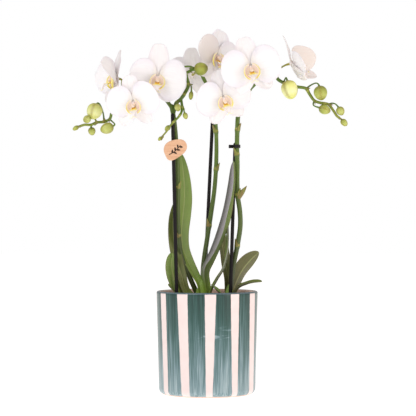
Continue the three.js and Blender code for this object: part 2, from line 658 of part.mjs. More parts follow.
// The stake's own line, from the bark up, at a height above the rim.
function stakeAt({ foot, top }, height) {
  return vector(foot).lerp(vector(top), (height - foot[2]) / (top[2] - foot[2]));
}

function stake(spec, grow = 0) {
  const line = new THREE.LineCurve3(stakeAt(spec, STAKE_FOOT), vector(spec.top));
  return tube(line, () => STAKE_RADIUS, { sides: 12, steps: 1, grow });
}

// The middle of a spike's stem at a height above the rim.
function stemAt(name, height) {
  const curve = new THREE.CatmullRomCurve3(SPIKES[name].stretches.stem.path.map(vector));
  let [low, high] = [0, 1];
  for (let i = 0; i < 30; i++) {
    const middle = (low + high) / 2;
    if (curve.getPointAt(middle).z < height) low = middle;
    else high = middle;
  }
  return curve.getPointAt(low);
}

// wings: the way a clip's two finger wings stand out, in degrees round from +X.
const CLIPS = {
  clip_left: { spike: 'spike_left', stake: 'stake_left', height: 152.5, wings: 95 },
  clip_right: { spike: 'spike_right', stake: 'stake_right', height: 157, wings: 180 },
};

// A plastic clip that closes round a stem and its stake.
function clip({ spike: spikeName, stake: stakeName, height, wings }, grow = 0) {
  const stem = stemAt(spikeName, height);
  const post = stakeAt(STAKES[stakeName], height);
  const apart = new THREE.Vector2(post.x - stem.x, post.y - stem.y);
  const band = new THREE.Shape();
  const quarter = Math.PI / 2;
  band.absarc(0, 0, SPIKE_BASE_RADIUS + CLIP_BAND + grow, quarter, 3 * quarter, false);
  band.absarc(apart.length(), 0, STAKE_RADIUS + CLIP_BAND + grow, -quarter, quarter, false);
  const wing = new THREE.Shape();
  const reach = STAKE_RADIUS + CLIP_BAND + CLIP_WING + grow;
  const half = CLIP_BAND / 2 + grow;
  wing.setFromPoints(
    [[0, -half], [reach, -half], [reach, half], [0, half]].map(([x, y]) => new THREE.Vector2(x, y)),
  );
  const low = height - CLIP_HEIGHT / 2 - grow;
  const extruded = (shape, turn, x, y) => solidOf(
    new THREE.ExtrudeGeometry(shape, {
      depth: CLIP_HEIGHT + 2 * grow, bevelEnabled: false, curveSegments: 4,
    }),
    new THREE.Matrix4().makeRotationZ(turn).setPosition(x, y, low),
  );
  const [x, y] = [(stem.x + post.x) / 2, (stem.y + post.y) / 2];
  return joined([
    extruded(band, apart.angle(), stem.x, stem.y),
    extruded(wing, deg(wings - CLIP_SPREAD), x, y),
    extruded(wing, deg(wings + CLIP_SPREAD), x, y),
  ]);
}

// The tag is a rounded three-cornered plate that stands in front of the left clip.
function tagOutline() {
  const [w, h] = [TAG_WIDTH / 2, TAG_HEIGHT / 2];
  const shape = new THREE.Shape();
  shape.moveTo(-w, 0);
  shape.bezierCurveTo(-w, 0.75 * h, -0.35 * w, 0.95 * h, 0.3 * w, h);
  shape.bezierCurveTo(0.8 * w, 1.05 * h, 1.05 * w, 0.62 * h, w, 0.2 * h);
  shape.bezierCurveTo(0.9 * w, -0.3 * h, 0.45 * w, -0.55 * h, 0.1 * w, -0.8 * h);
  shape.bezierCurveTo(-0.25 * w, -1.05 * h, -0.6 * w, -1.1 * h, -0.78 * w, -0.7 * h);
  shape.bezierCurveTo(-0.9 * w, -0.4 * h, -w, -0.25 * h, -w, 0);
  return shape;
}

function tag(grow = 0) {
  const { height } = CLIPS.clip_left;
  const post = stakeAt(STAKES.stake_left, height);
  const front = post.y - STAKE_RADIUS - CLIP_BAND - 2 * GAP;
  const plate = new THREE.ExtrudeGeometry(tagOutline(), {
    depth: TAG_THICKNESS + 2 * grow, bevelEnabled: false, curveSegments: 6,
  });
  const place = new THREE.Matrix4()
    .makeRotationX(Math.PI / 2)
    .setPosition(post.x + TAG_ASIDE, front + grow, height);
  return solidOf(plate, place);
}

// ---- Assembly ----
const COLOURS = {
  pot: ['#5f827f', 0.2], nursery: ['#3a3d3e', 0.6], bark: ['#6b4630', 0.9],
  stake: ['#26222a', 0.5], clip: ['#1b1a1f', 0.5], tag: ['#e3bd98', 0.7],
  crown: ['#6f9a36', 0.5], leaf: ['#5d7434', 0.45], stem: ['#4c6a2a', 0.5],
  bud: ['#a9b84a', 0.5], petal: ['#f6f1ef', 0.6], lip: ['#f3e3b0', 0.5],
};
const materials = Object.fromEntries(
  Object.entries(COLOURS).map(([name, [color, roughness]]) => [
    name,
    new THREE.MeshStandardMaterial({ name, color, roughness, metalness: 0 }),
  ]),
);

function named(name, geometry, material, place = new THREE.Matrix4()) {
  const mesh = new THREE.Mesh(geometry, materials[material]);
  mesh.name = name;
  mesh.applyMatrix4(place);
  return mesh;
}

// Every grown or fitted piece: how to make it, its material, and its own frame.
const pieces = [];
const addPiece = (name, material, make, place = new THREE.Matrix4()) =>
  pieces.push({ name, material, make, place });

for (const [name, spec] of Object.entries(STAKES)) addPiece(name, 'stake', (g) => stake(spec, g));
for (const [name, spec] of Object.entries(SPIKES)) addPiece(name, 'stem', (g) => spike(spec, g));
for (const [side, place] of Object.entries(CROWNS)) {
  addPiece(`crown_${side}`, 'crown', (g) => crown(place, g));
}
for (const [name, spec] of Object.entries(FLOWERS)) {
  const place = placeOf(spec);
  const at = (solid) => solid.transform(place.elements);
  addPiece(name, 'petal', (g) => at(flower(spec, g)), place);
  addPiece(`${name}_lip`, 'lip', (g) => at(lip(spec, g)), place);
}
for (const [name, spec] of Object.entries(BUDS)) addPiece(name, 'bud', (g) => bud(spec, g));
for (const [name, spec] of Object.entries(CLIPS)) addPiece(name, 'clip', (g) => clip(spec, g));
addPiece('plant_tag', 'tag', tag);
for (const [name, spec] of Object.entries(LEAVES)) addPiece(name, 'leaf', (g) => leaf(spec, g));

// A piece that meets one made before it is cut back from it, with the gap between them.
function boxesMeet(a, b) {
  return [0, 1, 2].every((i) => a.min[i] <= b.max[i] && b.min[i] <= a.max[i]);
}
const fitted = [];
for (const piece of pieces) {
  let solid = piece.make(0);
  for (const other of fitted) {
    if (!boxesMeet(solid.boundingBox(), other.grown.boundingBox())) continue;
    if (solid.intersect(other.grown).volume() > 0) solid = solid.subtract(other.grown);
  }
  solid = largestBody(solid.simplify(SEAM / 8));
  fitted.push({ ...piece, solid, grown: piece.make(GAP) });
}

const plant = new THREE.Group();
plant.position.z = POT_HEIGHT;
for (const { name, material, solid, place } of fitted) {
  const own = solid.transform(place.clone().invert().elements);
  plant.add(named(name, geometryOf(own), material, place));
}

// The bark gives way to whatever is planted in it.
let bark = solidOf(barkMix(), new THREE.Matrix4().makeTranslation(0, 0, -POT_HEIGHT));
for (const { grown } of fitted) {
  if (boxesMeet(bark.boundingBox(), grown.boundingBox())) bark = bark.subtract(grown);
}
plant.add(named('bark_mix', geometryOf(largestBody(bark)), 'bark'));

const orchid = new THREE.Group();
orchid.add(named('outer_pot', outerPot(), 'pot'));
orchid.add(named('nursery_pot', nurseryPot(), 'nursery'));
orchid.add(plant);

export default orchid;
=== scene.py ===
# A potted moth orchid, finished in Blender around its CAD frame.
# Shapes are written in millimetres; heights of what grows are counted from the pot's rim.
import math
import random

import bpy
import numpy as np
from mathutils import Matrix, Vector


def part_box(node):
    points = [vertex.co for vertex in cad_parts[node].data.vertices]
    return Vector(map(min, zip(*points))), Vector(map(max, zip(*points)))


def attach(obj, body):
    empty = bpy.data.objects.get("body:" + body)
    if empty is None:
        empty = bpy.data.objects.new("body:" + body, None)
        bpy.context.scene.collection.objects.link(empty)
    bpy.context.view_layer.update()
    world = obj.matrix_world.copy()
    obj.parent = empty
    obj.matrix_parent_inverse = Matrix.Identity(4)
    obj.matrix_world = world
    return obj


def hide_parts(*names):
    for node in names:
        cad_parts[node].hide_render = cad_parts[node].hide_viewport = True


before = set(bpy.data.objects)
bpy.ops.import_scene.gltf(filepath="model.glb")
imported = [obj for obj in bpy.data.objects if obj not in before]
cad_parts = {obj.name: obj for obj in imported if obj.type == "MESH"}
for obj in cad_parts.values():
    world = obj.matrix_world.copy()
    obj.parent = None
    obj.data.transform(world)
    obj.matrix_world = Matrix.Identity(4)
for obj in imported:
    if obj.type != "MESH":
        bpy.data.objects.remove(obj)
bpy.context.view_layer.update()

MM = 0.001
BODY = "root"
LEAF_SEED, FLOWER_SEED, BUD_SEED = 5, 100, 300


def box_mm(node):
    """A CAD node's lowest and highest corners, in millimetres."""
    low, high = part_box(node)
    return np.array(low) / MM, np.array(high) / MM


POT_HIGH = box_mm("outer_pot")[1]
RIM = POT_HIGH[2]
UP_TO_RIM = np.array([0, 0, RIM])


# ---------------------------------------------------------------- mesh helpers
def unit(vectors):
    return vectors / np.maximum(np.linalg.norm(vectors, axis=-1, keepdims=True), 1e-12)


def clamp(value):
    return np.clip(value, 0, 1)


def bell(value, width, centre=0):
    """1 at the centre, falling away on both sides."""
    return np.exp(-(((value - centre) / width) ** 2))


def xyz(x, y, z):
    """Points from their coordinates, each one an array or a single number."""
    return np.stack(np.broadcast_arrays(x, y, z), axis=-1)


def grid_faces(rows, columns, closed=False):
    """Quads over rows of points; closed joins each row's last point to its first."""
    across = columns if closed else columns - 1
    return [
        (
            r * columns + c,
            r * columns + (c + 1) % columns,
            (r + 1) * columns + (c + 1) % columns,
            (r + 1) * columns + c,
        )
        for r in range(rows - 1)
        for c in range(across)
    ]


def signed_volume(points, faces):
    total = 0.0
    for size in (3, 4):
        group = np.array([f for f in faces if len(f) == size])
        if not len(group):
            continue
        a = points[group[:, 0]]
        for k in range(1, size - 1):
            b = points[group[:, k]]
            c = points[group[:, k + 1]]
            total += np.einsum("ij,ij->i", a, np.cross(b, c)).sum() / 6
    return total


class Shells:
    """Closed shells gathered into one piece, with numbers for its material at each point."""

    def __init__(self):
        self.points = []
        self.faces = []
        self.values = []
        self.count = 0

    def add(self, shell, **values):
        points, faces, own = shell
        if signed_volume(points, faces) < 0:
            faces = [tuple(reversed(f)) for f in faces]
        self.points.append(points)
        self.faces.extend(tuple(i + self.count for i in f) for f in faces)
        self.values.append((len(points), {**own, **values}))
        self.count += len(points)
        return self

    def piece(self, name, material, slot, *nodes):
        mesh = bpy.data.meshes.new(name)
        mesh.from_pydata((np.concatenate(self.points) * MM).tolist(), [], self.faces)
        for key in sorted({key for _, values in self.values for key in values}):
            column = [np.broadcast_to(values.get(key, 0.0), n) for n, values in self.values]
            layer = mesh.attributes.new(key, "FLOAT", "POINT")
            layer.data.foreach_set("value", np.concatenate(column).astype(np.float32))
        mesh.polygons.foreach_set("use_smooth", np.ones(len(mesh.polygons), bool))
        mesh.materials.append(material)
        mesh.update()
        piece = bpy.data.objects.new(name, mesh)
        bpy.context.scene.collection.objects.link(piece)
        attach(piece, BODY)
        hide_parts(*nodes)
        return piece


class Curve:
    """A smooth curve through a few points, read at a share s of its length."""

    def __init__(self, points):
        points = np.asarray(points, float)
        padded = np.vstack([2 * points[0] - points[1], points, 2 * points[-1] - points[-2]])
        pieces = []
        for p0, p1, p2, p3 in zip(padded, padded[1:], padded[2:], padded[3:]):
            gaps = [np.linalg.norm(b - a) ** 0.5 for a, b in ((p0, p1), (p1, p2), (p2, p3))]
            knots = np.cumsum([0] + gaps)
            t = np.linspace(knots[1], knots[2], 24, endpoint=False)[:, None]
            t0, t1, t2, t3 = knots
            a1 = (t1 - t) / (t1 - t0) * p0 + (t - t0) / (t1 - t0) * p1
            a2 = (t2 - t) / (t2 - t1) * p1 + (t - t1) / (t2 - t1) * p2
            a3 = (t3 - t) / (t3 - t2) * p2 + (t - t2) / (t3 - t2) * p3
            b1 = (t2 - t) / (t2 - t0) * a1 + (t - t0) / (t2 - t0) * a2
            b2 = (t3 - t) / (t3 - t1) * a2 + (t - t1) / (t3 - t1) * a3
            pieces.append((t2 - t) / (t2 - t1) * b1 + (t - t1) / (t2 - t1) * b2)
        self.fine = np.vstack(pieces + [points[-1:]])
        steps = np.linalg.norm(np.diff(self.fine, axis=0), axis=1)
        self.length = steps.sum()
        self.share = np.concatenate([[0], np.cumsum(steps)]) / self.length
        self.slope = unit(np.gradient(self.fine, axis=0))

    def read(self, s, rows):
        return np.stack([np.interp(s, self.share, rows[:, k]) for k in range(3)], axis=-1)

    def at(self, s):
        return self.read(s, self.fine)

    def tangent(self, s):
        return unit(self.read(s, self.slope))

    def share_at_height(self, z):
        return self.share[np.argmin(abs(self.fine[:, 2] - z))]


def bezier(start, first, second, end, count, endpoint=True):
    t = np.linspace(0, 1, count, endpoint=endpoint)[:, None]
    return (
        (1 - t) ** 3 * start
        + 3 * (1 - t) ** 2 * t * first
        + 3 * (1 - t) * t**2 * second
        + t**3 * end
    )


def skin(rings, first_pole, last_pole):
    """A closed surface over rings of points, drawn together to a point at each end."""
    rows, sides = rings.shape[:2]
    points = np.vstack([rings.reshape(-1, 3), first_pole, last_pole])
    faces = grid_faces(rows, sides, closed=True)
    last = (rows - 1) * sides
    for i in range(sides):
        faces.append((rows * sides, (i + 1) % sides, i))
        faces.append((rows * sides + 1, last + i, last + (i + 1) % sides))
    return points, faces


CAP_ANGLES = (72, 48, 24)  # where the rings of a tube's round end lie, in degrees


def tube(path, radius, sides=14, flatten=1.0):
    """A round-ended tube along a path, with one radius or one for each of its points."""
    path = np.asarray(path, float)
    radius = np.broadcast_to(radius, len(path)).astype(float)
    tangents = unit(np.gradient(path, axis=0))
    angles = np.linspace(0, 2 * math.pi, sides, endpoint=False)
    cap = np.radians(CAP_ANGLES)

    def cap_ring(end, side, a):
        reach = tangents[end] * radius[end] * math.sin(a)
        return path[end] + side * reach, end, radius[end] * math.cos(a)

    last = len(path) - 1
    stations = [cap_ring(0, -1, a) for a in cap]
    stations += [(centre, k, radius[k]) for k, centre in enumerate(path)]
    stations += [cap_ring(last, 1, a) for a in cap[::-1]]
    side = unit(np.cross(tangents[0], [0.31, 0.93, 0.17]))
    sides_at = []
    for tangent in tangents:
        side = unit(side - tangent * np.dot(side, tangent))
        sides_at.append((side, np.cross(tangent, side) * flatten))
    cosines, sines = np.cos(angles)[:, None], np.sin(angles)[:, None]
    rings = np.array([
        centre + r * (cosines * sides_at[k][0] + sines * sides_at[k][1])
        for centre, k, r in stations
    ])
    poles = path[0] - tangents[0] * radius[0], path[-1] + tangents[-1] * radius[-1]
    points, faces = skin(rings, *poles)
    share = np.concatenate([[0], np.cumsum(np.linalg.norm(np.diff(path, axis=0), axis=1))])
    share /= share[-1]
    along = np.repeat([share[k] for _, k, _ in stations], sides)
    return points, faces, {"along": np.append(along, [0, 1])}


def ellipsoid(centre, radii, axes=None, rows=14, sides=20, shape=None):
    """An egg; shape(polar, turn) scales its radius, and axes are its own x, y and z."""
    polar = np.linspace(0, math.pi, rows + 2)[1:-1]
    turn = np.linspace(0, 2 * math.pi, sides, endpoint=False)
    p, q = np.meshgrid(polar, turn, indexing="ij")
    scale = np.ones_like(p) if shape is None else shape(p, q)
    local = xyz(
        np.sin(p) * np.cos(q) * scale * radii[0],
        np.sin(p) * np.sin(q) * scale * radii[1],
        -np.cos(p) * radii[2],
    )
    axes = np.eye(3) if axes is None else np.array(axes)
    centre = np.asarray(centre, float)
    points, faces = skin(
        local @ axes + centre, centre - axes[2] * radii[2], centre + axes[2] * radii[2]
    )
    along = np.append(np.repeat((1 - np.cos(polar)) / 2, sides), [0, 1])
    around = np.append(np.tile(turn, rows), [0, 0])
    return points, faces, {"along": along, "around": around}


def sheet(surface, thickness, rows, columns):
    """A thin closed solid round surface(s, t): s from base to tip, t from edge to edge."""
    s, t = np.meshgrid(
        (1 - np.cos(np.pi * np.linspace(0, 1, rows))) / 2,
        np.sin(np.pi / 2 * np.linspace(-1, 1, columns)),
        indexing="ij",
    )
    middle = surface(s, t)
    normal = unit(np.cross(np.gradient(middle, axis=1), np.gradient(middle, axis=0)))
    edge = np.sqrt(clamp(1 - np.abs(t) ** 6) * clamp(1 - np.abs(2 * s - 1) ** 12))
    half = (thickness(s, t) if callable(thickness) else thickness) / 2 * edge
    front = (middle + normal * half[..., None]).reshape(-1, 3)
    inside = np.zeros((rows, columns), bool)
    inside[1:-1, 1:-1] = True
    inside = inside.ravel()
    back = (middle - normal * half[..., None]).reshape(-1, 3)[inside]
    index = np.arange(rows * columns)
    index[inside] = rows * columns + np.arange(inside.sum())
    faces = grid_faces(rows, columns)
    faces += [tuple(int(index[i]) for i in reversed(f)) for f in faces]
    values = {
        "along": np.append(s.ravel(), s.ravel()[inside]),
        "across": np.append(t.ravel(), t.ravel()[inside]),
        "under": np.append(np.zeros(rows * columns), np.ones(inside.sum())),
    }
    return np.vstack([front, back]), faces, values


def moved(shell, matrix, offset):
    points, faces, values = shell
    return points @ matrix.T + offset, faces, values


# ---------------------------------------------------------------- material helpers
def rgb(red, green, blue):
    """A display colour, 0 to 255, as the linear colour that Blender works in."""
    return tuple(
        c / 12.92 if c <= 0.04045 else ((c + 0.055) / 1.055) ** 2.4
        for c in (red / 255, green / 255, blue / 255)
    ) + (1.0,)


class Shade:
    """One material's nodes. Each method adds a node and returns its output."""

    def __init__(self, name, roughness, **constants):
        self.material = bpy.data.materials.new(name)
        self.material.use_nodes = True
        self.tree = self.material.node_tree
        self.tree.nodes.clear()
        self.shader = self.tree.nodes.new("ShaderNodeBsdfPrincipled")
        output = self.tree.nodes.new("ShaderNodeOutputMaterial")
        self.tree.links.new(self.shader.outputs["BSDF"], output.inputs["Surface"])
        self.shader.inputs["Roughness"].default_value = roughness
        for key, value in constants.items():
            self.shader.inputs[key.replace("_", " ")].default_value = value

    def plug(self, target, value):
        if isinstance(value, bpy.types.NodeSocket):
            self.tree.links.new(value, target)
        elif value is not None:
            target.default_value = value

    def coordinates(self, scale=(1, 1, 1)):
        source = self.tree.nodes.new("ShaderNodeTexCoord").outputs["Object"]
        mapping = self.tree.nodes.new("ShaderNodeMapping")
        self.tree.links.new(source, mapping.inputs["Vector"])
        mapping.inputs["Scale"].default_value = scale
        return mapping.outputs["Vector"]

    def value(self, name):
        node = self.tree.nodes.new("ShaderNodeAttribute")
        node.attribute_name = name
        return node.outputs["Fac"]

    def math(self, operation, a, b=None):
        node = self.tree.nodes.new("ShaderNodeMath")
        node.operation = operation
        self.plug(node.inputs[0], a)
        self.plug(node.inputs[1], b)
        return node.outputs[0]

    def times(self, a, b):
        return self.math("MULTIPLY", a, b)

    def plus(self, a, b):
        return self.math("ADD", a, b)

    def swing(self, value, size, centre=0.5):
        """The value's distance from a centre, times a size."""
        return self.times(self.math("SUBTRACT", value, centre), size)

    def vector(self, x, y, z):
        node = self.tree.nodes.new("ShaderNodeCombineXYZ")
        for target, value in zip(node.inputs, (x, y, z)):
            self.plug(target, value)
        return node.outputs[0]

    def noise(self, scale, vector=None, detail=3.0, roughness=0.55, distortion=0.0):
        node = self.tree.nodes.new("ShaderNodeTexNoise")
        self.plug(node.inputs["Vector"], vector or self.coordinates())
        node.inputs["Scale"].default_value = scale
        node.inputs["Detail"].default_value = detail
        node.inputs["Roughness"].default_value = roughness
        node.inputs["Distortion"].default_value = distortion
        return node.outputs["Fac"]

    def between(self, value, low, high):
        """0 below low, 1 above high (or the other way round), and smooth in between."""
        node = self.tree.nodes.new("ShaderNodeMapRange")
        node.interpolation_type = "SMOOTHSTEP"
        self.plug(node.inputs["Value"], value)
        node.inputs["From Min"].default_value = min(low, high)
        node.inputs["From Max"].default_value = max(low, high)
        node.inputs["To Min"].default_value = float(low > high)
        node.inputs["To Max"].default_value = float(low < high)
        return node.outputs["Result"]

    def mix(self, share, a, b):
        node = self.tree.nodes.new("ShaderNodeMix")
        node.data_type = "RGBA"
        self.plug(node.inputs["Factor"], share)
        colours = [socket for socket in node.inputs if socket.type == "RGBA"]
        self.plug(colours[0], a)
        self.plug(colours[1], b)
        return next(socket for socket in node.outputs if socket.type == "RGBA")

    def from_middle(self, value, low, high):
        return self.between(self.math("ABSOLUTE", value), low, high)

    def tint(self, colour, mask, share, other):
        """The colour, moved towards another by the mask times a share."""
        return self.mix(self.times(mask, share), colour, other)

    def colours(self, value, *stops):
        """A ramp. Each stop is a position and a display colour."""
        node = self.tree.nodes.new("ShaderNodeValToRGB")
        ramp = node.color_ramp
        for k, (position, *colour) in enumerate(stops):
            stop = ramp.elements[k] if k < 2 else ramp.elements.new(position)
            stop.position = position
            stop.color = rgb(*colour)
        self.plug(node.inputs["Fac"], value)
        return node.outputs["Color"]

    def finish(self, colour, height=None, depth=0.0, roughness=None):
        """Colour, bump height (depth in millimetres) and, where it varies, roughness."""
        self.plug(self.shader.inputs["Base Color"], colour)
        if roughness is not None:
            self.plug(self.shader.inputs["Roughness"], roughness)
        if height is not None:
            bump = self.tree.nodes.new("ShaderNodeBump")
            bump.inputs["Distance"].default_value = depth * MM
            self.plug(bump.inputs["Height"], height)
            self.tree.links.new(bump.outputs["Normal"], self.shader.inputs["Normal"])
        return self.material


# ---------------------------------------------------------------- materials
def glaze():
    """Teal brushed stripes on pale pink, under a clear gloss. The teal grows paler towards the
    bottom, partly thinner paint and partly a painted reflection of the light, and two front stripes
    carry patchy streaks of painted reflection.
    """
    shade = Shade("pot_glaze", 0.3, Coat_Weight=0.25, Coat_Roughness=0.08, Specular_IOR_Level=0.35)
    height = shade.value("height")
    streaks = shade.noise(420, shade.coordinates((1, 1, 0.012)), detail=4, roughness=0.7)
    broad = shade.noise(120, shade.coordinates((1, 1, 0.12)), detail=2)
    reflection_streaks = shade.noise(60, shade.coordinates((0.5, 0.5, 2.6)), detail=3, distortion=1.2)
    hairs = shade.noise(1100, shade.coordinates((1, 1, 0.006)), detail=2)
    brush_and_reflection = shade.plus(streaks, shade.swing(broad, 0.4))
    brush_and_reflection = shade.plus(brush_and_reflection, shade.swing(hairs, 0.8))
    # Paler towards the bottom: partly thinner paint, partly a painted reflection of the light.
    brush_and_reflection = shade.plus(brush_and_reflection, shade.swing(height, -0.75, 0.58))
    # Patchy pale streaks part way up the two front middle stripes: a painted reflection of the
    # light.
    reflection_patches = shade.times(shade.between(reflection_streaks, 0.56, 0.66), shade.value("smudge"))
    brush_and_reflection = shade.plus(brush_and_reflection, shade.times(reflection_patches, 0.35))
    teal = shade.colours(
        brush_and_reflection,
        (0.1, 22, 58, 52), (0.38, 44, 84, 78), (0.6, 82, 114, 114),
        (0.8, 120, 146, 152), (1.0, 164, 184, 188),
    )
    wobble = shade.noise(260, shade.coordinates((1, 1, 0.4)), detail=2)
    edge = shade.plus(shade.value("stripe"), shade.swing(wobble, 0.9))
    cloud = shade.noise(90, detail=3)
    pink = shade.mix(cloud, rgb(246, 231, 228), rgb(238, 216, 212))
    colour = shade.mix(shade.between(edge, -0.25, 0.3), pink, teal)
    band = shade.mix(streaks, rgb(66, 84, 92), rgb(112, 132, 142))
    colour = shade.mix(shade.value("lip"), colour, band)
    colour = shade.mix(shade.value("inside"), colour, rgb(240, 208, 192))
    colour = shade.mix(shade.value("foot"), colour, rgb(226, 190, 172))
    return shade.finish(colour, shade.times(streaks, shade.between(edge, -0.25, 0.3)), 0.06)


def dark_plastic(name, colour, patch_colour, roughness, grain, depth):
    shade = Shade(name, roughness, Specular_IOR_Level=0.25)
    speckle = shade.noise(grain, detail=4)
    # Paler patches at random places.
    paler_patches = shade.between(shade.noise(90), 0.52, 0.72)
    return shade.finish(shade.mix(paler_patches, colour, patch_colour), speckle, depth)


def bark_chip():
    shade = Shade("bark_chip", 0.85)
    grain = shade.noise(260, shade.coordinates((1, 1, 3)), detail=6, roughness=0.7)
    layers = shade.noise(700, detail=3)
    tone = shade.plus(shade.times(grain, 0.75), shade.times(shade.value("tone"), 0.35))
    colour = shade.colours(
        tone, (0.2, 46, 30, 22), (0.45, 88, 58, 40), (0.65, 126, 88, 60), (0.9, 168, 128, 92)
    )
    return shade.finish(colour, shade.plus(grain, shade.times(layers, 0.4)), 0.9)


def tag_veneer():
    """Pale veneer; the printed leaf sprig on its face is a darker brown."""
    shade = Shade("tag_veneer", 0.6)
    grain = shade.noise(55, shade.coordinates((1, 1, 9)), detail=5, distortion=0.6)
    fibre = shade.noise(900, shade.coordinates((0.15, 1, 1)), detail=2)
    colour = shade.colours(grain, (0.3, 208, 158, 122), (0.55, 226, 180, 144), (0.8, 238, 198, 164))
    colour = shade.tint(colour, fibre, 0.25, rgb(206, 160, 126))
    return shade.finish(colour, fibre, 0.08)


def leaf_skin():
    """Satin green: lengthwise veins, a paler midrib, a darker edge, a base made paler by a painted
    highlight, and a grey underside whose grey is painted shade down the middle and a painted
    reflection of the light towards the edges.
    """
    shade = Shade("leaf_skin", 0.42, Coat_Weight=0.05, Coat_Roughness=0.3, Subsurface_Weight=0.06,
                  Subsurface_Radius=(0.3, 1.0, 0.2), Subsurface_Scale=0.002)
    along, across, tone = shade.value("along"), shade.value("across"), shade.value("tone")
    veins = shade.noise(1.0, shade.vector(shade.times(across, 16), shade.times(along, 3), tone))
    patches = shade.noise(45, detail=4, roughness=0.6)
    fresh = shade.mix(patches, rgb(134, 162, 74), rgb(98, 134, 46))
    deep = shade.mix(patches, rgb(100, 92, 40), rgb(54, 60, 22))
    green = shade.mix(tone, fresh, deep)
    green = shade.tint(green, veins, 0.3, rgb(150, 160, 96))
    rib = shade.from_middle(across, 0.12, 0.0)
    green = shade.tint(green, rib, 0.5, rgb(176, 184, 118))
    # Paler yellow-green towards the base: a painted highlight where the crown catches the light.
    base = shade.between(along, 0.2, 0.0)
    green = shade.tint(green, base, 0.8, rgb(134, 168, 56))
    rim = shade.from_middle(across, 0.88, 1.0)
    green = shade.tint(green, rim, 0.55, rgb(98, 74, 46))
    # The underside's grey: painted shade, dark down the middle, and a painted reflection of the
    # light, pale grey-lilac towards the edges.
    to_edge = shade.from_middle(across, 0.1, 1.0)
    grey = shade.mix(to_edge, rgb(78, 80, 74), rgb(166, 163, 166))
    grey = shade.tint(grey, veins, 0.35, rgb(122, 112, 114))
    back = shade.times(shade.value("under"), shade.between(along, 0.02, 0.3))
    back = shade.times(back, shade.value("grey"))
    colour = shade.mix(back, green, grey)
    return shade.finish(colour, shade.plus(veins, shade.times(patches, 0.3)), 0.22)


def crown_skin():
    shade = Shade("crown_skin", 0.42, Coat_Weight=0.1, Coat_Roughness=0.3)
    around = shade.times(shade.value("around"), 7)
    ribs = shade.noise(1.0, shade.vector(around, shade.value("along"), 0))
    colour = shade.colours(
        shade.value("along"),
        (0.0, 112, 92, 52), (0.25, 122, 146, 54), (0.6, 140, 176, 54), (1.0, 116, 156, 50),
    )
    colour = shade.tint(colour, ribs, 0.45, rgb(166, 184, 92))
    return shade.finish(colour, ribs, 0.3)


def stem_skin():
    """Dark green below, olive and then yellow-green where it carries the flowers."""
    shade = Shade("stem_skin", 0.42, Coat_Weight=0.1, Coat_Roughness=0.3)
    speckle = shade.noise(380, shade.coordinates((1, 1, 0.3)), detail=3)
    ripe = shade.value("tone")
    colour = shade.colours(
        ripe,
        (0.0, 46, 54, 22), (0.35, 80, 108, 26), (0.6, 96, 130, 34), (1.0, 176, 166, 64),
    )
    colour = shade.tint(colour, speckle, 0.2, rgb(84, 60, 44))
    colour = shade.mix(shade.value("ring"), colour, rgb(190, 182, 84))
    dry = shade.times(shade.value("dry"), shade.between(speckle, 0.35, 0.6))
    colour = shade.mix(dry, colour, rgb(124, 92, 50))
    return shade.finish(colour, speckle, 0.1)


def bud_skin():
    shade = Shade("bud_skin", 0.42, Coat_Weight=0.08, Coat_Roughness=0.35, Subsurface_Weight=0.15,
                  Subsurface_Radius=(1.0, 0.9, 0.3), Subsurface_Scale=0.003)
    along, seam, tone = shade.value("along"), shade.value("seam"), shade.value("tone")
    around = shade.times(shade.value("around"), 9)
    fibres = shade.noise(1.0, shade.vector(around, along, tone), detail=3)
    ripe = shade.colours(
        along, (0.0, 190, 184, 74), (0.3, 238, 240, 146), (0.7, 250, 252, 190), (1.0, 218, 220, 106)
    )
    young = shade.colours(
        along, (0.0, 84, 94, 22), (0.35, 138, 152, 38), (0.75, 170, 180, 60), (1.0, 112, 112, 30)
    )
    colour = shade.mix(tone, ripe, young)
    colour = shade.tint(colour, fibres, 0.3, rgb(178, 176, 92))
    # Olive-brown along the seams: painted shade in their grooves.
    colour = shade.tint(colour, seam, 0.55, rgb(150, 132, 50))
    return shade.finish(colour, fibres, 0.12)


def petal_skin():
    """White, with fine veins that fan from the claw, a breath of lilac along the edge, a cream
    centre deepened by painted warm shade, and warm beige painted shade on tepals that sit in shade.
    """
    shade = Shade("petal_skin", 0.55, Sheen_Weight=0.12, Sheen_Roughness=0.4, Subsurface_Weight=0.4,
                  Subsurface_Radius=(1.0, 0.85, 0.8), Subsurface_Scale=0.003)
    along, across, tone = shade.value("along"), shade.value("across"), shade.value("tone")
    veins = shade.noise(
        1.0, shade.vector(shade.times(across, 14), shade.times(along, 2.2), tone), detail=2
    )
    cells = shade.noise(1400, detail=2)
    white = shade.mix(veins, rgb(253, 252, 254), rgb(242, 238, 244))
    edge = shade.from_middle(across, 0.5, 1.05)
    white = shade.tint(white, edge, 0.6, rgb(234, 226, 240))
    # Warmer near the claw: partly the petal's own cream centre, partly painted warm shade where the
    # tepals meet the column.
    claw_cream_and_shade = shade.between(along, 0.22, 0.04)
    white = shade.tint(white, claw_cream_and_shade, 0.5, rgb(236, 226, 206))
    # A warm beige painted shade, strongest on the tepals that sit in shade.
    white = shade.tint(white, shade.value("warm"), 0.6, rgb(232, 218, 208))
    colour = shade.tint(white, shade.value("under"), 0.2, rgb(244, 238, 230))
    return shade.finish(colour, shade.plus(veins, shade.times(cells, 0.2)), 0.12)


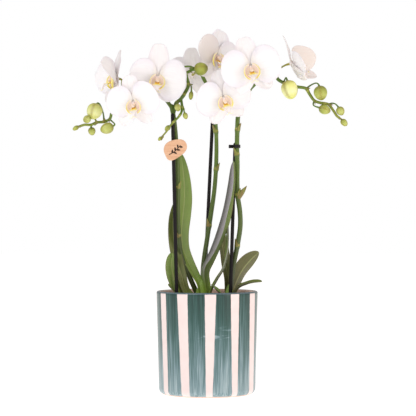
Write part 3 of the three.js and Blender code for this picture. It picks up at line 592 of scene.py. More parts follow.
def lip_skin():
    """White and yellow, with magenta streaks where the lobes meet."""
    shade = Shade("lip_skin", 0.45, Subsurface_Weight=0.12, Subsurface_Radius=(1.0, 0.7, 0.4),
                  Subsurface_Scale=0.003)
    across, along = shade.times(shade.value("across"), 9), shade.times(shade.value("along"), 4)
    streaks = shade.noise(1.0, shade.vector(across, along, 0), detail=2)
    fine = shade.noise(900, detail=2)
    colour = shade.mix(fine, rgb(252, 247, 244), rgb(244, 236, 234))
    colour = shade.tint(colour, shade.value("peach"), 0.8, rgb(240, 220, 204))
    yellow = shade.mix(shade.value("callus"), rgb(255, 240, 118), rgb(234, 178, 54))
    colour = shade.mix(shade.value("yellow"), colour, yellow)
    blush = shade.times(shade.value("magenta"), shade.between(streaks, 0.42, 0.58))
    colour = shade.tint(colour, blush, 0.7, rgb(184, 84, 116))
    return shade.finish(colour, shade.plus(streaks, shade.times(fine, 0.4)), 0.15)


def column_skin():
    shade = Shade("column_skin", 0.4, Subsurface_Weight=0.15, Subsurface_Radius=(1.0, 0.6, 0.5),
                  Subsurface_Scale=0.003)
    fine = shade.noise(700, detail=3)
    colour = shade.colours(
        shade.value("along"),
        (0.0, 236, 222, 210), (0.45, 250, 238, 236), (0.8, 244, 214, 204), (1.0, 246, 214, 176),
    )
    return shade.finish(shade.tint(colour, fine, 0.3, rgb(250, 246, 246)), fine, 0.1)


MATERIALS = {
    "pot": glaze(),
    "nursery": dark_plastic("nursery_plastic", rgb(52, 55, 57), rgb(82, 86, 88), 0.55, 1100, 0.08),
    "bark": bark_chip(),
    "stake": dark_plastic("stake_coating", rgb(14, 9, 10), rgb(30, 22, 23), 0.55, 900, 0.12),
    "clip": dark_plastic("clip_plastic", rgb(16, 13, 16), rgb(34, 30, 36), 0.45, 1300, 0.05),
    "tag": tag_veneer(),
    "print": dark_plastic("tag_print", rgb(44, 30, 24), rgb(64, 46, 38), 0.7, 800, 0.03),
    "leaf": leaf_skin(),
    "crown": crown_skin(),
    "stem": stem_skin(),
    "bud": bud_skin(),
    "petal": petal_skin(),
    "lip": lip_skin(),
    "column": column_skin(),
}


# ---------------------------------------------------------------- pot
POT_WALL = 4
POT_FLOOR = 5
FOOT_ROUNDING = 7
BASE_RADIUS = 52.5
TOP_RADIUS = POT_HIGH[0]
LIP_BAND = 1.5  # how far the blue-grey lip reaches down outside
# The front stripes: their two edges at the top and at the bottom, in degrees round from the front.
FRONT_STRIPES = [
    ((-83.5, -65.0), (-83.5, -61.7)),
    ((-53.5, -35.6), (-52.3, -30.9)),
    ((-22.5, -2.5), (-20.7, -1.3)),
    ((10.2, 27.3), (6.4, 30.8)),
    ((38.4, 56.5), (38.3, 59.4)),
    ((69.6, 88.0), (71.8, 93.0)),
]
BACK_STRIPES = [
    ((99.2 + 29.5 * k, 117.5 + 29.5 * k), (100.7 + 29.3 * k, 122.3 + 29.3 * k)) for k in range(6)
]
REFLECTION_STRIPES = (2, 3)  # the two front middle stripes, which get patchy pale streaks of painted reflection


def stripe_depth(phi, down):
    """How far a point lies inside a teal stripe, in millimetres (below 0 it is in the pink)."""
    best = np.full(phi.shape, -99.0)
    on_reflection_stripe = np.zeros(phi.shape)
    for k, (top, bottom) in enumerate(FRONT_STRIPES + BACK_STRIPES):
        left = top[0] + (bottom[0] - top[0]) * down
        right = top[1] + (bottom[1] - top[1]) * down
        offset = (phi - (left + right) / 2 + 180) % 360 - 180
        inside = ((right - left) / 2 - np.abs(offset)) * math.radians(TOP_RADIUS)
        best = np.maximum(best, inside)
        # These stripes get a painted reflection of the light.
        if k in REFLECTION_STRIPES:
            on_reflection_stripe = np.maximum(on_reflection_stripe, inside > -1)
    return best, on_reflection_stripe


def soft_max(a, b, radius):
    blend = clamp(0.5 + 0.5 * (a - b) / radius)
    return b + (a - b) * blend + radius * blend * (1 - blend)


def pot():
    lip = POT_WALL / 2
    profile = [(r, 0.0) for r in np.linspace(2, BASE_RADIUS - FOOT_ROUNDING - 3, 8)]
    profile += [(BASE_RADIUS - FOOT_ROUNDING - 1, 0.15), (BASE_RADIUS - FOOT_ROUNDING, 0.0)]
    for a in np.radians(np.linspace(-84, 0, 12)):
        r = BASE_RADIUS - FOOT_ROUNDING * (1 - math.cos(a))
        profile.append((r, FOOT_ROUNDING * (1 + math.sin(a))))
    for share in np.linspace(0, 1, 54)[1:-1]:
        z = FOOT_ROUNDING + (RIM - lip - FOOT_ROUNDING) * share
        profile.append((BASE_RADIUS + (TOP_RADIUS - BASE_RADIUS) * share, z))
    outside = len(profile)
    for a in np.radians(np.linspace(0, 180, 13)):
        profile.append((TOP_RADIUS - lip + lip * math.cos(a), RIM - lip + lip * math.sin(a)))
    for share in np.linspace(0, 1, 22)[1:]:
        z = RIM - lip - (RIM - lip - POT_FLOOR - POT_WALL) * share
        profile.append((TOP_RADIUS - POT_WALL + (BASE_RADIUS - TOP_RADIUS) * share, z))
    for a in np.radians(np.linspace(15, 90, 6)):
        r = BASE_RADIUS - 2 * POT_WALL + POT_WALL * math.cos(a)
        profile.append((r, POT_FLOOR + POT_WALL * (1 - math.sin(a))))
    profile += [(r, POT_FLOOR) for r in np.linspace(BASE_RADIUS - 2 * POT_WALL - 4, 2, 8)]

    sides = 480
    turn = np.linspace(-math.pi, math.pi, sides, endpoint=False)
    rings = np.array([
        xyz(r * np.sin(turn), -r * np.cos(turn), z) for r, z in profile
    ])
    points, faces = skin(rings, [0, 0, 0], [0, 0, POT_FLOOR])
    radius = np.hypot(points[:, 0], points[:, 1])
    phi = np.degrees(np.arctan2(points[:, 0], -points[:, 1]))
    z = points[:, 2]
    inside_row = np.repeat(np.arange(len(profile)) > outside + 8, sides)
    stripe, on_reflection_stripe = stripe_depth(phi, clamp(1 - z / RIM))
    to_lip = z - (RIM - LIP_BAND)
    values = {
        "stripe": np.where(z < 1.2, -3, soft_max(stripe, to_lip, 0.5)),
        "height": z / RIM,
        # where the painted reflection lies: the two front middle stripes, about 0.6 of the way up
        "smudge": on_reflection_stripe * clamp(1 - np.abs(z / RIM - 0.6) / 0.12),
        "lip": clamp(to_lip / 0.8 + 0.5),
        "inside": np.append(inside_row, [0, 1]).astype(float),
        "foot": clamp((1.6 - z) / 0.5) * (radius > 5),
    }
    values["lip"] = values["lip"] * (1 - values["inside"])
    Shells().add((points, faces, values)).piece("pot", MATERIALS["pot"], "pot_glaze", "outer_pot")


# ---------------------------------------------------------------- nursery pot and bark
NURSERY_LOW, NURSERY_HIGH = box_mm("nursery_pot")
NURSERY_TOP_RADIUS = NURSERY_HIGH[0]
NURSERY_BASE_RADIUS = 36
NURSERY_WALL = 1.2
BARK_HIGH = box_mm("bark_mix")[1][2]
BARK_EDGE = BARK_HIGH - 2.5
BARK_SEED = 11
CHIP_COUNT = 300
GOLDEN_ANGLE = 2.39996


def nursery_pot():
    """A thin tapered pot with ribs down its side and a rolled rim."""
    top, floor = NURSERY_HIGH[2], NURSERY_LOW[2]
    taper = NURSERY_TOP_RADIUS - NURSERY_WALL - NURSERY_BASE_RADIUS
    profile = [(r, floor) for r in np.linspace(2, NURSERY_BASE_RADIUS - 1, 8)]
    profile += [(NURSERY_BASE_RADIUS - 0.3, floor + 0.3)]
    for share in np.linspace(0.02, 0.95, 24):
        profile.append((NURSERY_BASE_RADIUS + taper * share, floor + (top - floor) * share))
    rim = [(-NURSERY_WALL, -4.4), (-0.4, -4.4), (0, -4), (0, -0.6), (-0.35, -0.1), (-1.4, 0)]
    rim += [(-2.0, -0.1), (-2.4, -0.6)]
    profile += [(NURSERY_TOP_RADIUS + r, top + z) for r, z in rim]
    for share in np.linspace(0.95, 0.03, 20):
        r = NURSERY_BASE_RADIUS - NURSERY_WALL + taper * share
        profile.append((r, floor + (top - floor) * share))
    profile += [(r, floor + NURSERY_WALL) for r in np.linspace(NURSERY_BASE_RADIUS - 2.5, 2, 8)]
    sides = 192
    turn = np.linspace(0, 2 * math.pi, sides, endpoint=False)
    rings = []
    for row, (r, z) in enumerate(profile):
        on_wall = 9 <= row < 33
        rib = 0.35 * clamp(np.cos(12 * turn) * 6 - 5) if on_wall else 0
        rings.append(xyz((r - rib) * np.cos(turn), (r - rib) * np.sin(turn), z))
    points, faces = skin(np.array(rings), [0, 0, floor], [0, 0, floor + NURSERY_WALL])
    Shells().add((points, faces, {})).piece(
        "nursery_pot_shell", MATERIALS["nursery"], "nursery_plastic", "nursery_pot"
    )


def chip(rng, centre, size):
    """A split plate of bark with a broken outline."""
    sides = 9
    length, width, thick = size
    turn = np.linspace(0, 2 * math.pi, sides, endpoint=False)
    ragged = np.array([rng.uniform(0.72, 1.12) for _ in range(sides)])
    slope = rng.uniform(-0.25, 0.25)
    rings = []
    for level, scale in ((-0.5, 0.82), (-0.3, 1.0), (0.3, 0.97), (0.5, 0.74)):
        jitter = np.array([rng.uniform(-0.05, 0.05) for _ in range(sides)])
        r = ragged * scale + jitter
        rings.append(xyz(
            length / 2 * r * np.cos(turn),
            width / 2 * r * np.sin(turn),
            thick * (level + slope * np.cos(turn) * r + 0.5 * jitter),
        ))
    points, faces = skin(np.array(rings), [0, 0, -thick / 2], [0, 0, thick / 2])
    tilt = Matrix.Rotation(rng.uniform(0, 2 * math.pi), 3, "Z") @ Matrix.Rotation(
        rng.uniform(-0.9, 0.9), 3, "X"
    ) @ Matrix.Rotation(rng.uniform(0, 2 * math.pi), 3, "Z")
    return points @ np.array(tilt).T + np.asarray(centre), faces, {"tone": rng.uniform(0, 1)}


def bark():
    rng = random.Random(BARK_SEED)
    shells = Shells()
    edge = NURSERY_TOP_RADIUS - 3.4
    sides = 72
    turn = np.linspace(0, 2 * math.pi, sides, endpoint=False)
    floor = NURSERY_LOW[2] + NURSERY_WALL + 0.4
    profile = [(NURSERY_BASE_RADIUS - 4, floor), (NURSERY_BASE_RADIUS - 2.5, floor + 1)]
    profile += [(edge - 1.6, BARK_EDGE - 6), (edge - 1.2, BARK_EDGE - 3.5)]
    for share in np.linspace(0.94, 0.08, 14):
        profile.append((edge * share, BARK_HIGH - 4 - 2 * share**2))
    rings = []
    for row, (r, z) in enumerate(profile):
        bumps = [0.0] * sides if row < 4 else [rng.uniform(-1.0, 1.0) for _ in range(sides)]
        rings.append(xyz(r * np.cos(turn), r * np.sin(turn), z + np.array(bumps)))
    points, faces = skin(np.array(rings), [0, 0, floor], [0, 0, BARK_HIGH - 4])
    shells.add((points, faces, {"tone": 0.1}))
    for k in range(CHIP_COUNT):
        size = (rng.uniform(7, 15), rng.uniform(5, 9), rng.uniform(2.2, 4.5))
        spread = math.sqrt((k + 0.5) / CHIP_COUNT) * (edge - size[0] / 2 - 0.5)
        angle = k * GOLDEN_ANGLE + rng.uniform(-0.3, 0.3)
        high = BARK_HIGH - 2.6 - 2.2 * (spread / edge) ** 2 + rng.uniform(-1.4, 0.6)
        shells.add(chip(rng, (spread * math.cos(angle), spread * math.sin(angle), high), size))
    shells.piece("bark_chips", MATERIALS["bark"], "bark", "bark_mix")


# ---------------------------------------------------------------- crowns and leaves
# spine: the midrib from the crown to the tip. face: which way the upper side looks at the base
# and at the tip. width: at the widest. fold: how far each half rises from flat, in degrees.
# waist: the base's width as a share of the widest. tone: 0 fresh green to 1 dark olive.
LEAVES = {
    "leaf_tall_left": dict(
        spine=[(-6.5, 2, -4), (-9, 3, 8), (-13.7, 5, 17), (-20.8, 6, 31), (-26.4, 5, 46),
               (-28, 4, 64), (-26.4, 3, 83), (-24.8, 3, 101), (-25.4, 3, 122), (-28.6, 4, 149)],
        face=((0.6, -0.7, 0.3), (0.35, -0.93, 0)), width=18, fold=24, waist=0.5, tone=0.15),
    "leaf_front_left": dict(
        spine=[(-17, 2, -15), (-27, -3, -4), (-34, -7, 8), (-38, -9, 23), (-38.5, -10, 41.5)],
        face=((0.5, -0.5, 0.7), (0.1, -0.95, 0.2)), width=17, fold=14, waist=0.55, tone=0.2),
    "leaf_back_left": dict(
        spine=[(-12, 4, -12), (-23.5, -2, 1), (-28, -5, 17), (-32, -4, 31), (-35.3, 0, 46),
               (-37.2, 3, 64), (-37, 4, 80), (-34, 5, 98)],
        face=((0.4, -0.8, 0.4), (0.2, -0.95, 0)), width=13, fold=18, waist=0.7, tone=0.75),
    "leaf_stub_left": dict(
        spine=[(-20, 8, -15), (-31, 9, -4), (-42.5, 9, 7)],
        face=((0.4, -0.5, 0.7), (0.3, -0.7, 0.6)), width=8, fold=16, waist=0.6, tone=0.3),
    "leaf_tall_right": dict(
        spine=[(-2, 5, -6), (-4.5, 6, 8), (-6, 6.5, 17), (-5, 6.5, 24.5), (-0.8, 6.3, 33.5),
               (4.2, 5, 44.3), (10.2, 2, 60.6), (16.2, -3, 80.5), (20.3, -4, 98.7),
               (23.5, -4, 117.2), (26.2, -3, 134.6), (28.5, -3, 141.3)],
        face=((0.75, -0.6, 0.25), (0.95, -0.25, 0.1)), width=20.6, fold=60,
        waist=0.8, tone=0.35, grey=1),
    "leaf_back_right": dict(
        spine=[(22.8, 8, -8), (22.6, 14, 13.4), (19.6, 18, 30.8), (16.5, 20, 49.4),
               (14.5, 21, 70.3)],
        face=((0.4, -0.9, 0.4), (0.7, -0.7, 0.2)), width=15, fold=22, waist=0.6, tone=0.9),
    "leaf_inner_right": dict(
        spine=[(0, -3, -12), (5, -5, 2), (11, -6, 13), (17.5, -6, 24), (21.3, -4, 38),
               (23, 1, 55.3), (22.8, 6, 70.4), (21.5, 10, 85.6)],
        face=((-0.6, -0.2, 0.8), (-0.95, 0.1, 0.2)), width=11, fold=20, waist=0.7, tone=0.3),
    "leaf_wide_right": dict(
        spine=[(25, 5, -10), (30.5, 8, 7.2), (37.5, 10, 21.2), (46, 11, 32.1), (56.5, 12, 42)],
        face=((-0.4, 0.7, 0.6), (-0.35, 0.85, 0.45)), width=21, fold=14,
        waist=0.55, tone=1, grey=0),
    "leaf_low_right": dict(
        spine=[(26, 0, -10), (30, -4, -1), (35.8, -7, 5), (41.2, -8, 7.2), (46.6, -9, 9),
               (54.2, -10, 10), (59.5, -11, 10.4)],
        face=((-0.4, -0.1, 0.9), (0, -0.25, 0.97)), width=12, fold=26,
        waist=0.6, tone=0.6, grey=0.3),
    "leaf_young": dict(
        spine=[(22, -3, -11), (15.5, -8, -4), (9.5, -11, 2.5), (4.5, -12, 7.5)],
        face=((0.4, -0.3, 0.9), (0.5, -0.2, 0.9)), width=9, fold=24, waist=0.7, tone=0.0),
}
LEAF_THICKNESS = 1.7
# An underside's grey is painted shade and a painted reflection of the light.
LEAF_PAINTED_GREY = 0.6  # how grey an underside is, where a leaf gives none


def leaf_half_width(s, width, waist):
    swell = waist + (1 - waist) * np.sin(np.pi * np.minimum(s / 1.24, 0.5))
    tip = np.sqrt(np.clip(1 - clamp((s - 0.55) / 0.45) ** 2.4, 0.004, 1))
    return width / 2 * swell * tip


def leaf(name, spec, rng):
    spine = Curve(spec["spine"])
    base_face, tip_face = (unit(np.array(f, float)) for f in spec["face"])
    fold = math.radians(spec["fold"])
    wave, phase = rng.uniform(1.4, 2.4), rng.uniform(0, 6)

    def surface(s, t):
        along = spine.tangent(s)
        across = unit(np.cross(along, base_face + (tip_face - base_face) * s[..., None]))
        up = unit(np.cross(across, along))
        half = leaf_half_width(s, spec["width"], spec["waist"])
        reach = t * half
        rise = (np.hypot(reach, 1) - 1) * math.sin(fold)
        rise -= 0.55 * bell(reach, 0.9) * clamp(1.1 - s)
        rise += 0.5 * t**2 * np.sin(2 * np.pi * wave * s + phase + 2 * np.sign(t)) * clamp(s * 3)
        if name == "leaf_front_left":  # its blunt tip is notched
            reach_notch = 6 * bell(t, 0.26, 0.05) * clamp((s - 0.7) / 0.3) ** 2
        else:
            reach_notch = 0.0 * s
        return (
            spine.at(s)
            + across * (reach * math.cos(fold))[..., None]
            + up * rise[..., None]
            - along * reach_notch[..., None]
            + UP_TO_RIM
        )

    def thickness(s, t):
        return LEAF_THICKNESS * (0.45 + 0.55 * (1 - np.abs(t)) ** 0.7) * (1 - 0.35 * s)

    blade = sheet(surface, thickness, int(14 + spine.length / 2.2), 21)
    shells = Shells().add(blade, tone=spec["tone"], grey=spec.get("grey", LEAF_PAINTED_GREY))
    shells.piece(f"{name}_blade", MATERIALS["leaf"], "leaf", name)


def crown(side):
    """The leaf bases clasp each other in a fan: an inner shoot and two slanting sheaths."""
    low, high = box_mm(f"crown_{side}")
    centre, half = (low + high) / 2, (high - low) / 2
    shells = Shells()

    def clasped(p, q):
        pinch = 1 - 0.1 * np.abs(np.sin(q)) ** 6
        return pinch * (1 + 0.16 * np.cos(p)) * (1 + 0.03 * np.cos(5 * q + 2 * p))

    shells.add(ellipsoid(centre, half * [0.94, 0.82, 1], rows=36, sides=48, shape=clasped))
    for turn, top, spread in ((0.4, 0.62, 2.2), (3.5, 0.45, 2.4)):

        def surface(s, t, turn=turn, top=top, spread=spread):
            height = -0.85 + (0.85 + top) * s * (1 - 0.35 * t**2)
            girth = np.sqrt(np.clip(1 - height**2, 0.05, 1)) * (1 + 0.08 * s)
            angle = turn + spread * t / 2
            return centre + xyz(
                half[0] * girth * np.cos(angle),
                half[1] * 0.9 * girth * np.sin(angle),
                half[2] * height,
            )

        shells.add(sheet(surface, 0.9, 26, 25))
    shells.piece(f"crown_{side}_sheaths", MATERIALS["crown"], "crown", f"crown_{side}")


# ---------------------------------------------------------------- flowers
# A flower's own frame: +Z out of its face, +Y towards its top sepal. turn, tilt and roll are in
# degrees: turned to its right, tilted up, and rolled clockwise as it is looked at.
FLOWERS = {
    "flower_left_end": dict(
        centre=(-98.7, -8, 230), turn=-68, tilt=2, roll=0, size=0.98,
        petal_left=dict(lift=14, width=1.25),
        petal_right=dict(angle=60, lift=27, length=0.95, width=0.95),
        sepal_top=dict(lift=-3),
        sepal_left=dict(lift=8),
        sepal_right=dict(lift=8),
    ),
    "flower_left_front": dict(
        centre=(-78.3, -34, 202), turn=-8, tilt=-14, roll=-9, size=0.95,
        petal_left=dict(angle=-74, width=1.14),
        petal_right=dict(angle=78, width=1.26),
        sepal_left=dict(angle=-140),
        sepal_right=dict(angle=148),
    ),
    "flower_left_upper": dict(
        centre=(-53.5, -20, 229.5), turn=4, tilt=-8, roll=5, size=1,
        petal_left=dict(angle=-90),
        petal_right=dict(angle=94, width=1.45),
        sepal_top=dict(length=1.2, width=0.76),
    ),
    "flower_middle_front": dict(
        centre=(17.6, -18, 207.5), turn=14, tilt=-16, roll=-17, size=1,
        petal_left=dict(angle=-78),
        petal_right=dict(angle=82),
    ),
    "flower_middle_upper": dict(
        centre=(9.5, 14, 255), turn=38, tilt=-2, roll=10, size=0.97,
        petal_left=dict(angle=-64, width=1.02, warm=1.0),
        sepal_top=dict(angle=6, width=0.9, warm=0.0),
    ),
    "flower_middle_back": dict(
        centre=(-17, 40, 238), turn=-160, tilt=6, roll=3, size=0.93,
        petal_left=dict(warm=0.7),
    ),
    "flower_right_front": dict(
        centre=(46.8, -34, 239.5), turn=4, tilt=-6, roll=-11, size=1.04,
        sepal_top=dict(angle=-5, width=0.76),
    ),
    "flower_right_end": dict(
        centre=(92.5, -4, 247), turn=84, tilt=12, roll=0, size=0.98,
        petal_left=dict(angle=-108, lift=15, length=0.95, width=0.98),
        petal_right=dict(angle=80, lift=26, width=1.05, warm=1.4),
        sepal_top=dict(lift=-2, width=0.62),
        sepal_left=dict(angle=-138, lift=14, warm=0.8),
        sepal_right=dict(angle=128, lift=24, warm=1.0),
    ),
}
FLOWER_REACH = 31
RECEPTACLE_DEPTH = 3.6
TEPAL_START = 0.05  # the share of its reach where a tepal begins
# angle: from the top sepal, clockwise. length and width: shares of the reach. height: how far in
# front of the centre it starts. lift, cup: how far its tip and its edges come forward. blunt: the
# roundness of its base and of its tip.
LOWER_SEPAL = dict(length=0.94, width=0.6, height=-1, lift=1, cup=1, blunt=(0.75, 0.5))
PETAL = dict(length=1, width=1.26, height=1.3, lift=4.5, cup=-1.4, blunt=(0.62, 0.42))
TEPALS = {
    "sepal_top": dict(
        angle=0, length=1.04, width=0.7, height=-1, lift=-1.5, cup=1.2, blunt=(0.95, 0.3)
    ),
    "sepal_right": dict(LOWER_SEPAL, angle=145),
    "sepal_left": dict(LOWER_SEPAL, angle=-145),
    "petal_right": dict(PETAL, angle=86),
    "petal_left": dict(PETAL, angle=-86),
}
TEPAL_THICKNESS = 0.55


def flower_frame(spec):
    """The flower's axes as the columns of a matrix, and its centre."""
    turn, tilt, roll = (math.radians(spec[k]) for k in ("turn", "tilt", "roll"))
    out = np.array([
        math.sin(turn) * math.cos(tilt), -math.cos(turn) * math.cos(tilt), math.sin(tilt)
    ])
    right = unit(np.cross([0, 0, 1], out))
    up = np.cross(out, right)
    spin = np.array([
        [math.cos(roll), math.sin(roll), 0], [-math.sin(roll), math.cos(roll), 0], [0, 0, 1]
    ])
    return np.stack([right, up, out], axis=1) @ spin, np.array(spec["centre"], float) + UP_TO_RIM


def tepal(name, spec, size, rng):
    angle = math.radians(spec["angle"] + rng.uniform(-2, 2))
    length = FLOWER_REACH * size * spec["length"] * rng.uniform(0.98, 1.01)
    half_width = FLOWER_REACH * size * spec["width"] / 2 * rng.uniform(0.97, 1.02)
    along = np.array([math.sin(angle), math.cos(angle), 0])
    across = np.array([along[1], -along[0], 0])
    petal = name.startswith("petal")
    waves = [(rng.uniform(1.5, 3.2), rng.uniform(0, 6.3), rng.uniform(0.25, 0.6)) for _ in range(3)]
    twist = rng.uniform(-0.05, 0.05)
    curl = rng.uniform(0.6, 1.6)
    # A petal's upper shoulder is fuller than its lower one.
    upper = 1 if spec["angle"] < 0 else -1

    def surface(s, t):
        reach = TEPAL_START + (1 - TEPAL_START) * s
        blunt = spec["blunt"][0] + (spec["blunt"][1] - spec["blunt"][0]) * reach
        half = half_width * np.clip(1 - (2 * reach - 1) ** 2, 0.002, 1) ** blunt
        if petal:
            half = half * (1 + 0.06 * upper * t)
        height = spec["height"] + spec["lift"] * reach**2 + spec["cup"] * t**2 * reach
        height = height + twist * t * half - curl * clamp(reach - 0.72) ** 2 * 14
        for turns, phase, depth in waves:
            side = turns * np.pi * reach + phase + 1.1 * t
            height = height + depth * np.abs(t) ** 2.5 * np.sin(side) * clamp(reach * 2.5 - 0.4)
        if petal:
            height = height - 0.9 * bell(t * half, 1.6) * clamp(1 - reach)
        else:
            for fold in (-0.36, 0.36):
                height = height - 0.5 * bell(t, 0.12, fold) * clamp(1.1 - reach)
            height = height + 0.7 * bell(t, 0.16) * (1 - reach)
        return (
            along * (reach * length)[..., None]
            + across * (t * half)[..., None]
            + np.array([0, 0, 1.0]) * height[..., None]
        )

    def thickness(s, t):
        return TEPAL_THICKNESS * (1 + 1.4 * np.exp(-s * 7) + 0.25 * bell(t, 0.2))

    return sheet(surface, thickness, 46, 33)


def lip_shells(size):
    """The middle lobe with its two tendrils, two ear-like side lobes, and the callus between."""
    parts = []
    keel = Curve([(0, -3.4, 2.4), (0, -5.4, 6), (0, -7.4, 10), (0, -9.6, 13.6), (0, -12.4, 15.4)])

    def middle(s, t):
        half = 2.3 + 3.2 * bell(s, 0.17, 0.6) - 1.75 * s**4
        tangent = keel.tangent(s)
        up = unit(np.cross(tangent, np.array([1.0, 0, 0])))
        rise = 0.4 * half * t**2 + 0.55 * bell(t, 0.2) * (1 - s)
        return keel.at(s) + np.array([1.0, 0, 0]) * (t * half)[..., None] + up * rise[..., None]

    shell = sheet(middle, 0.8, 34, 19)
    along, across = shell[2]["along"], np.abs(shell[2]["across"])
    yellow = clamp(1.25 - np.abs(along - 0.3) / 0.2 + 0.8 * across**2) * (along < 0.8)
    magenta = clamp(1.2 - np.abs(along - 0.16) / 0.16) + 0.7 * clamp(across - 0.5) * (along > 0.4)
    parts.append((shell, dict(yellow=yellow, magenta=clamp(magenta))))
    for side in (-1, 1):
        tendril = Curve([
            (0.4 * side, -12, 15.2), (1.6 * side, -13.4, 15.4),
            (3.4 * side, -13.8, 15.8), (4.2 * side, -12.6, 16.4),
        ])
        shell = tube(tendril.at(np.linspace(0, 1, 18)), np.linspace(0.45, 0.14, 18), 8)
        parts.append((shell, dict(yellow=0.5)))

        def ear(s, t, side=side):
            t = (t + 1) / 2
            turn = np.radians(-72 + 150 * s)
            inner = xyz(1.3 * side, -5.6 + 5.4 * s, 3)
            outer = xyz(8.3 * side * np.cos(turn), -3.4 + 8.4 * np.sin(turn), 3)
            forward = 5.4 * np.sin(np.pi * (0.12 + 0.76 * s)) * t**1.7
            bulge = np.sin(np.pi * 0.56 * t) ** 0.9
            return inner + (outer - inner) * bulge[..., None] + xyz(0, 0, forward)

        shell = sheet(ear, 0.7, 30, 21)
        rise = (shell[2]["across"] + 1) / 2
        low_down = clamp(1.25 - shell[2]["along"])
        yellow = clamp((rise - 0.55) / 0.2) * low_down
        magenta = clamp(1 - abs(rise - 0.38) / 0.24) * clamp(1.1 - shell[2]["along"])
        parts.append((shell, dict(yellow=yellow, magenta=magenta, peach=clamp(1.2 - rise))))
        bump = ellipsoid((1.15 * side, -4.7, 5.9), (1.25, 1.0, 1.7), rows=10, sides=14)
        parts.append((bump, dict(yellow=1.0, magenta=0.1, callus=1.0)))
    return [((p * size, f, v), extra) for (p, f, v), extra in parts]


def column_shells(size):
    """The column, with the anther cap hanging over its tip. The green-white receptacle is built by
    receptacle().
    """
    axis = Curve([(0, 0.6, -0.4), (0, 0.5, 2.2), (0, -0.3, 4.8), (0, -1.7, 7.2)])
    radii = np.interp(np.linspace(0, 1, 20), [0, 0.25, 0.6, 0.85, 1], [2.5, 2.0, 2.1, 2.2, 1.8])
    parts = [tube(axis.at(np.linspace(0, 1, 20)), radii, 20)]
    parts.append(ellipsoid((0, -2.0, 8.0), (1.75, 1.5, 1.35), rows=12, sides=18))
    parts.append(ellipsoid((0, -3.1, 7.0), (0.75, 0.6, 0.9), rows=8, sides=12))
    return [(p * size, f, v) for p, f, v in parts]


def receptacle():
    def swell(p, q):
        return 1 + 0.05 * np.cos(5 * q)

    half = RECEPTACLE_DEPTH / 2 + 1
    centre = (0, 0, 1 - RECEPTACLE_DEPTH / 2)
    return ellipsoid(centre, (2.9, 2.9, half), rows=14, sides=30, shape=swell)


def flower(name, spec, seed):
    rng = random.Random(seed)
    matrix, centre = flower_frame(spec)
    size = spec["size"]
    stem_name = name.replace("flower_", "")
    for part, tepal_spec in TEPALS.items():
        own = {**tepal_spec, **spec.get(part, {})}
        shell = moved(tepal(part, own, size, rng), matrix, centre)
        # How much warm beige painted shade a tepal gets: sepals more than petals, and the shaded
        # tepals of some flowers more still.
        warm = own.get("warm", 0.15 if part.startswith("petal") else 0.45)
        Shells().add(shell, tone=rng.uniform(0, 60), warm=warm).piece(
            f"{stem_name}_{part}", MATERIALS["petal"], "petal", name
        )
    middle = Shells()
    for shell in column_shells(size):
        middle.add(moved(shell, matrix, centre))
    middle.add(moved(receptacle(), matrix, centre))
    middle.piece(f"{stem_name}_column", MATERIALS["column"], "petal", name)
    lips = Shells()
    for shell, extra in lip_shells(size):
        lips.add(moved(shell, matrix, centre), **extra)
    lips.piece(f"{stem_name}_lip_lobes", MATERIALS["lip"], "lip", f"{name}_lip")


# ---------------------------------------------------------------- buds
# centre, length, width, the way that the bud points, and its tone: 0 pale and ripe to 1 young.
BUDS = {
    "bud_left_1": ((-121.9, -12, 194.4), 18, 17, (-0.3, -0.2, -0.9), 0.2),
    "bud_left_2": ((-108.4, -9, 176.2), 15, 12, (-1, -0.2, -0.4), 0.7),
    "bud_left_3": ((-129.6, -17, 185.5), 9, 8.4, (-0.5, -0.6, -0.5), 0.7),
    "bud_left_4": ((-125, -4, 173.2), 9, 8, (0.2, 0.2, -1), 0.8),
    "bud_left_5": ((-142.2, -8, 176.5), 7.5, 5, (-1, 0, -0.6), 0.9),
    "bud_inner_1": ((-6.4, -12, 240.4), 15, 14.4, (1, -0.3, 0.15), 0.95),
    "bud_inner_2": ((-17.4, -10, 211.6), 9.5, 5, (-0.1, 0, -1), 0.9),
    "bud_inner_3": ((-27.6, -12, 222.5), 10, 5, (0.3, -0.1, 1), 0.8),
    "bud_inner_4": ((-31.6, -14.5, 198.3), 8.5, 7, (0.1, -0.4, -1), 0.7),
    "bud_droop_1": ((-23.4, -13, 189.5), 7.5, 5.4, (0.3, 0, -1), 0.8),
    "bud_droop_2": ((-42.6, -16, 176), 7.5, 5.4, (-0.7, 0.2, -0.7), 0.9),
    "bud_droop_3": ((-50.6, -19, 164.6), 5.5, 4, (-0.7, 0, -0.7), 1.0),
    "bud_right_1": ((89, -17, 217.4), 21, 18, (0.25, -0.2, -1), 0.0),
    "bud_right_2": ((122.6, -13, 214.2), 16, 14.5, (0.2, -0.1, -1), 0.85),
    "bud_right_3": ((127.1, -12, 196.4), 13, 10.5, (1, -0.1, -0.35), 0.85),
    "bud_right_4": ((144.4, -9, 194.9), 10, 9, (0.5, -0.1, -0.9), 0.7),
    "bud_right_5": ((148.4, -8, 182.4), 9, 7, (0.7, 0, -0.8), 0.8),
}


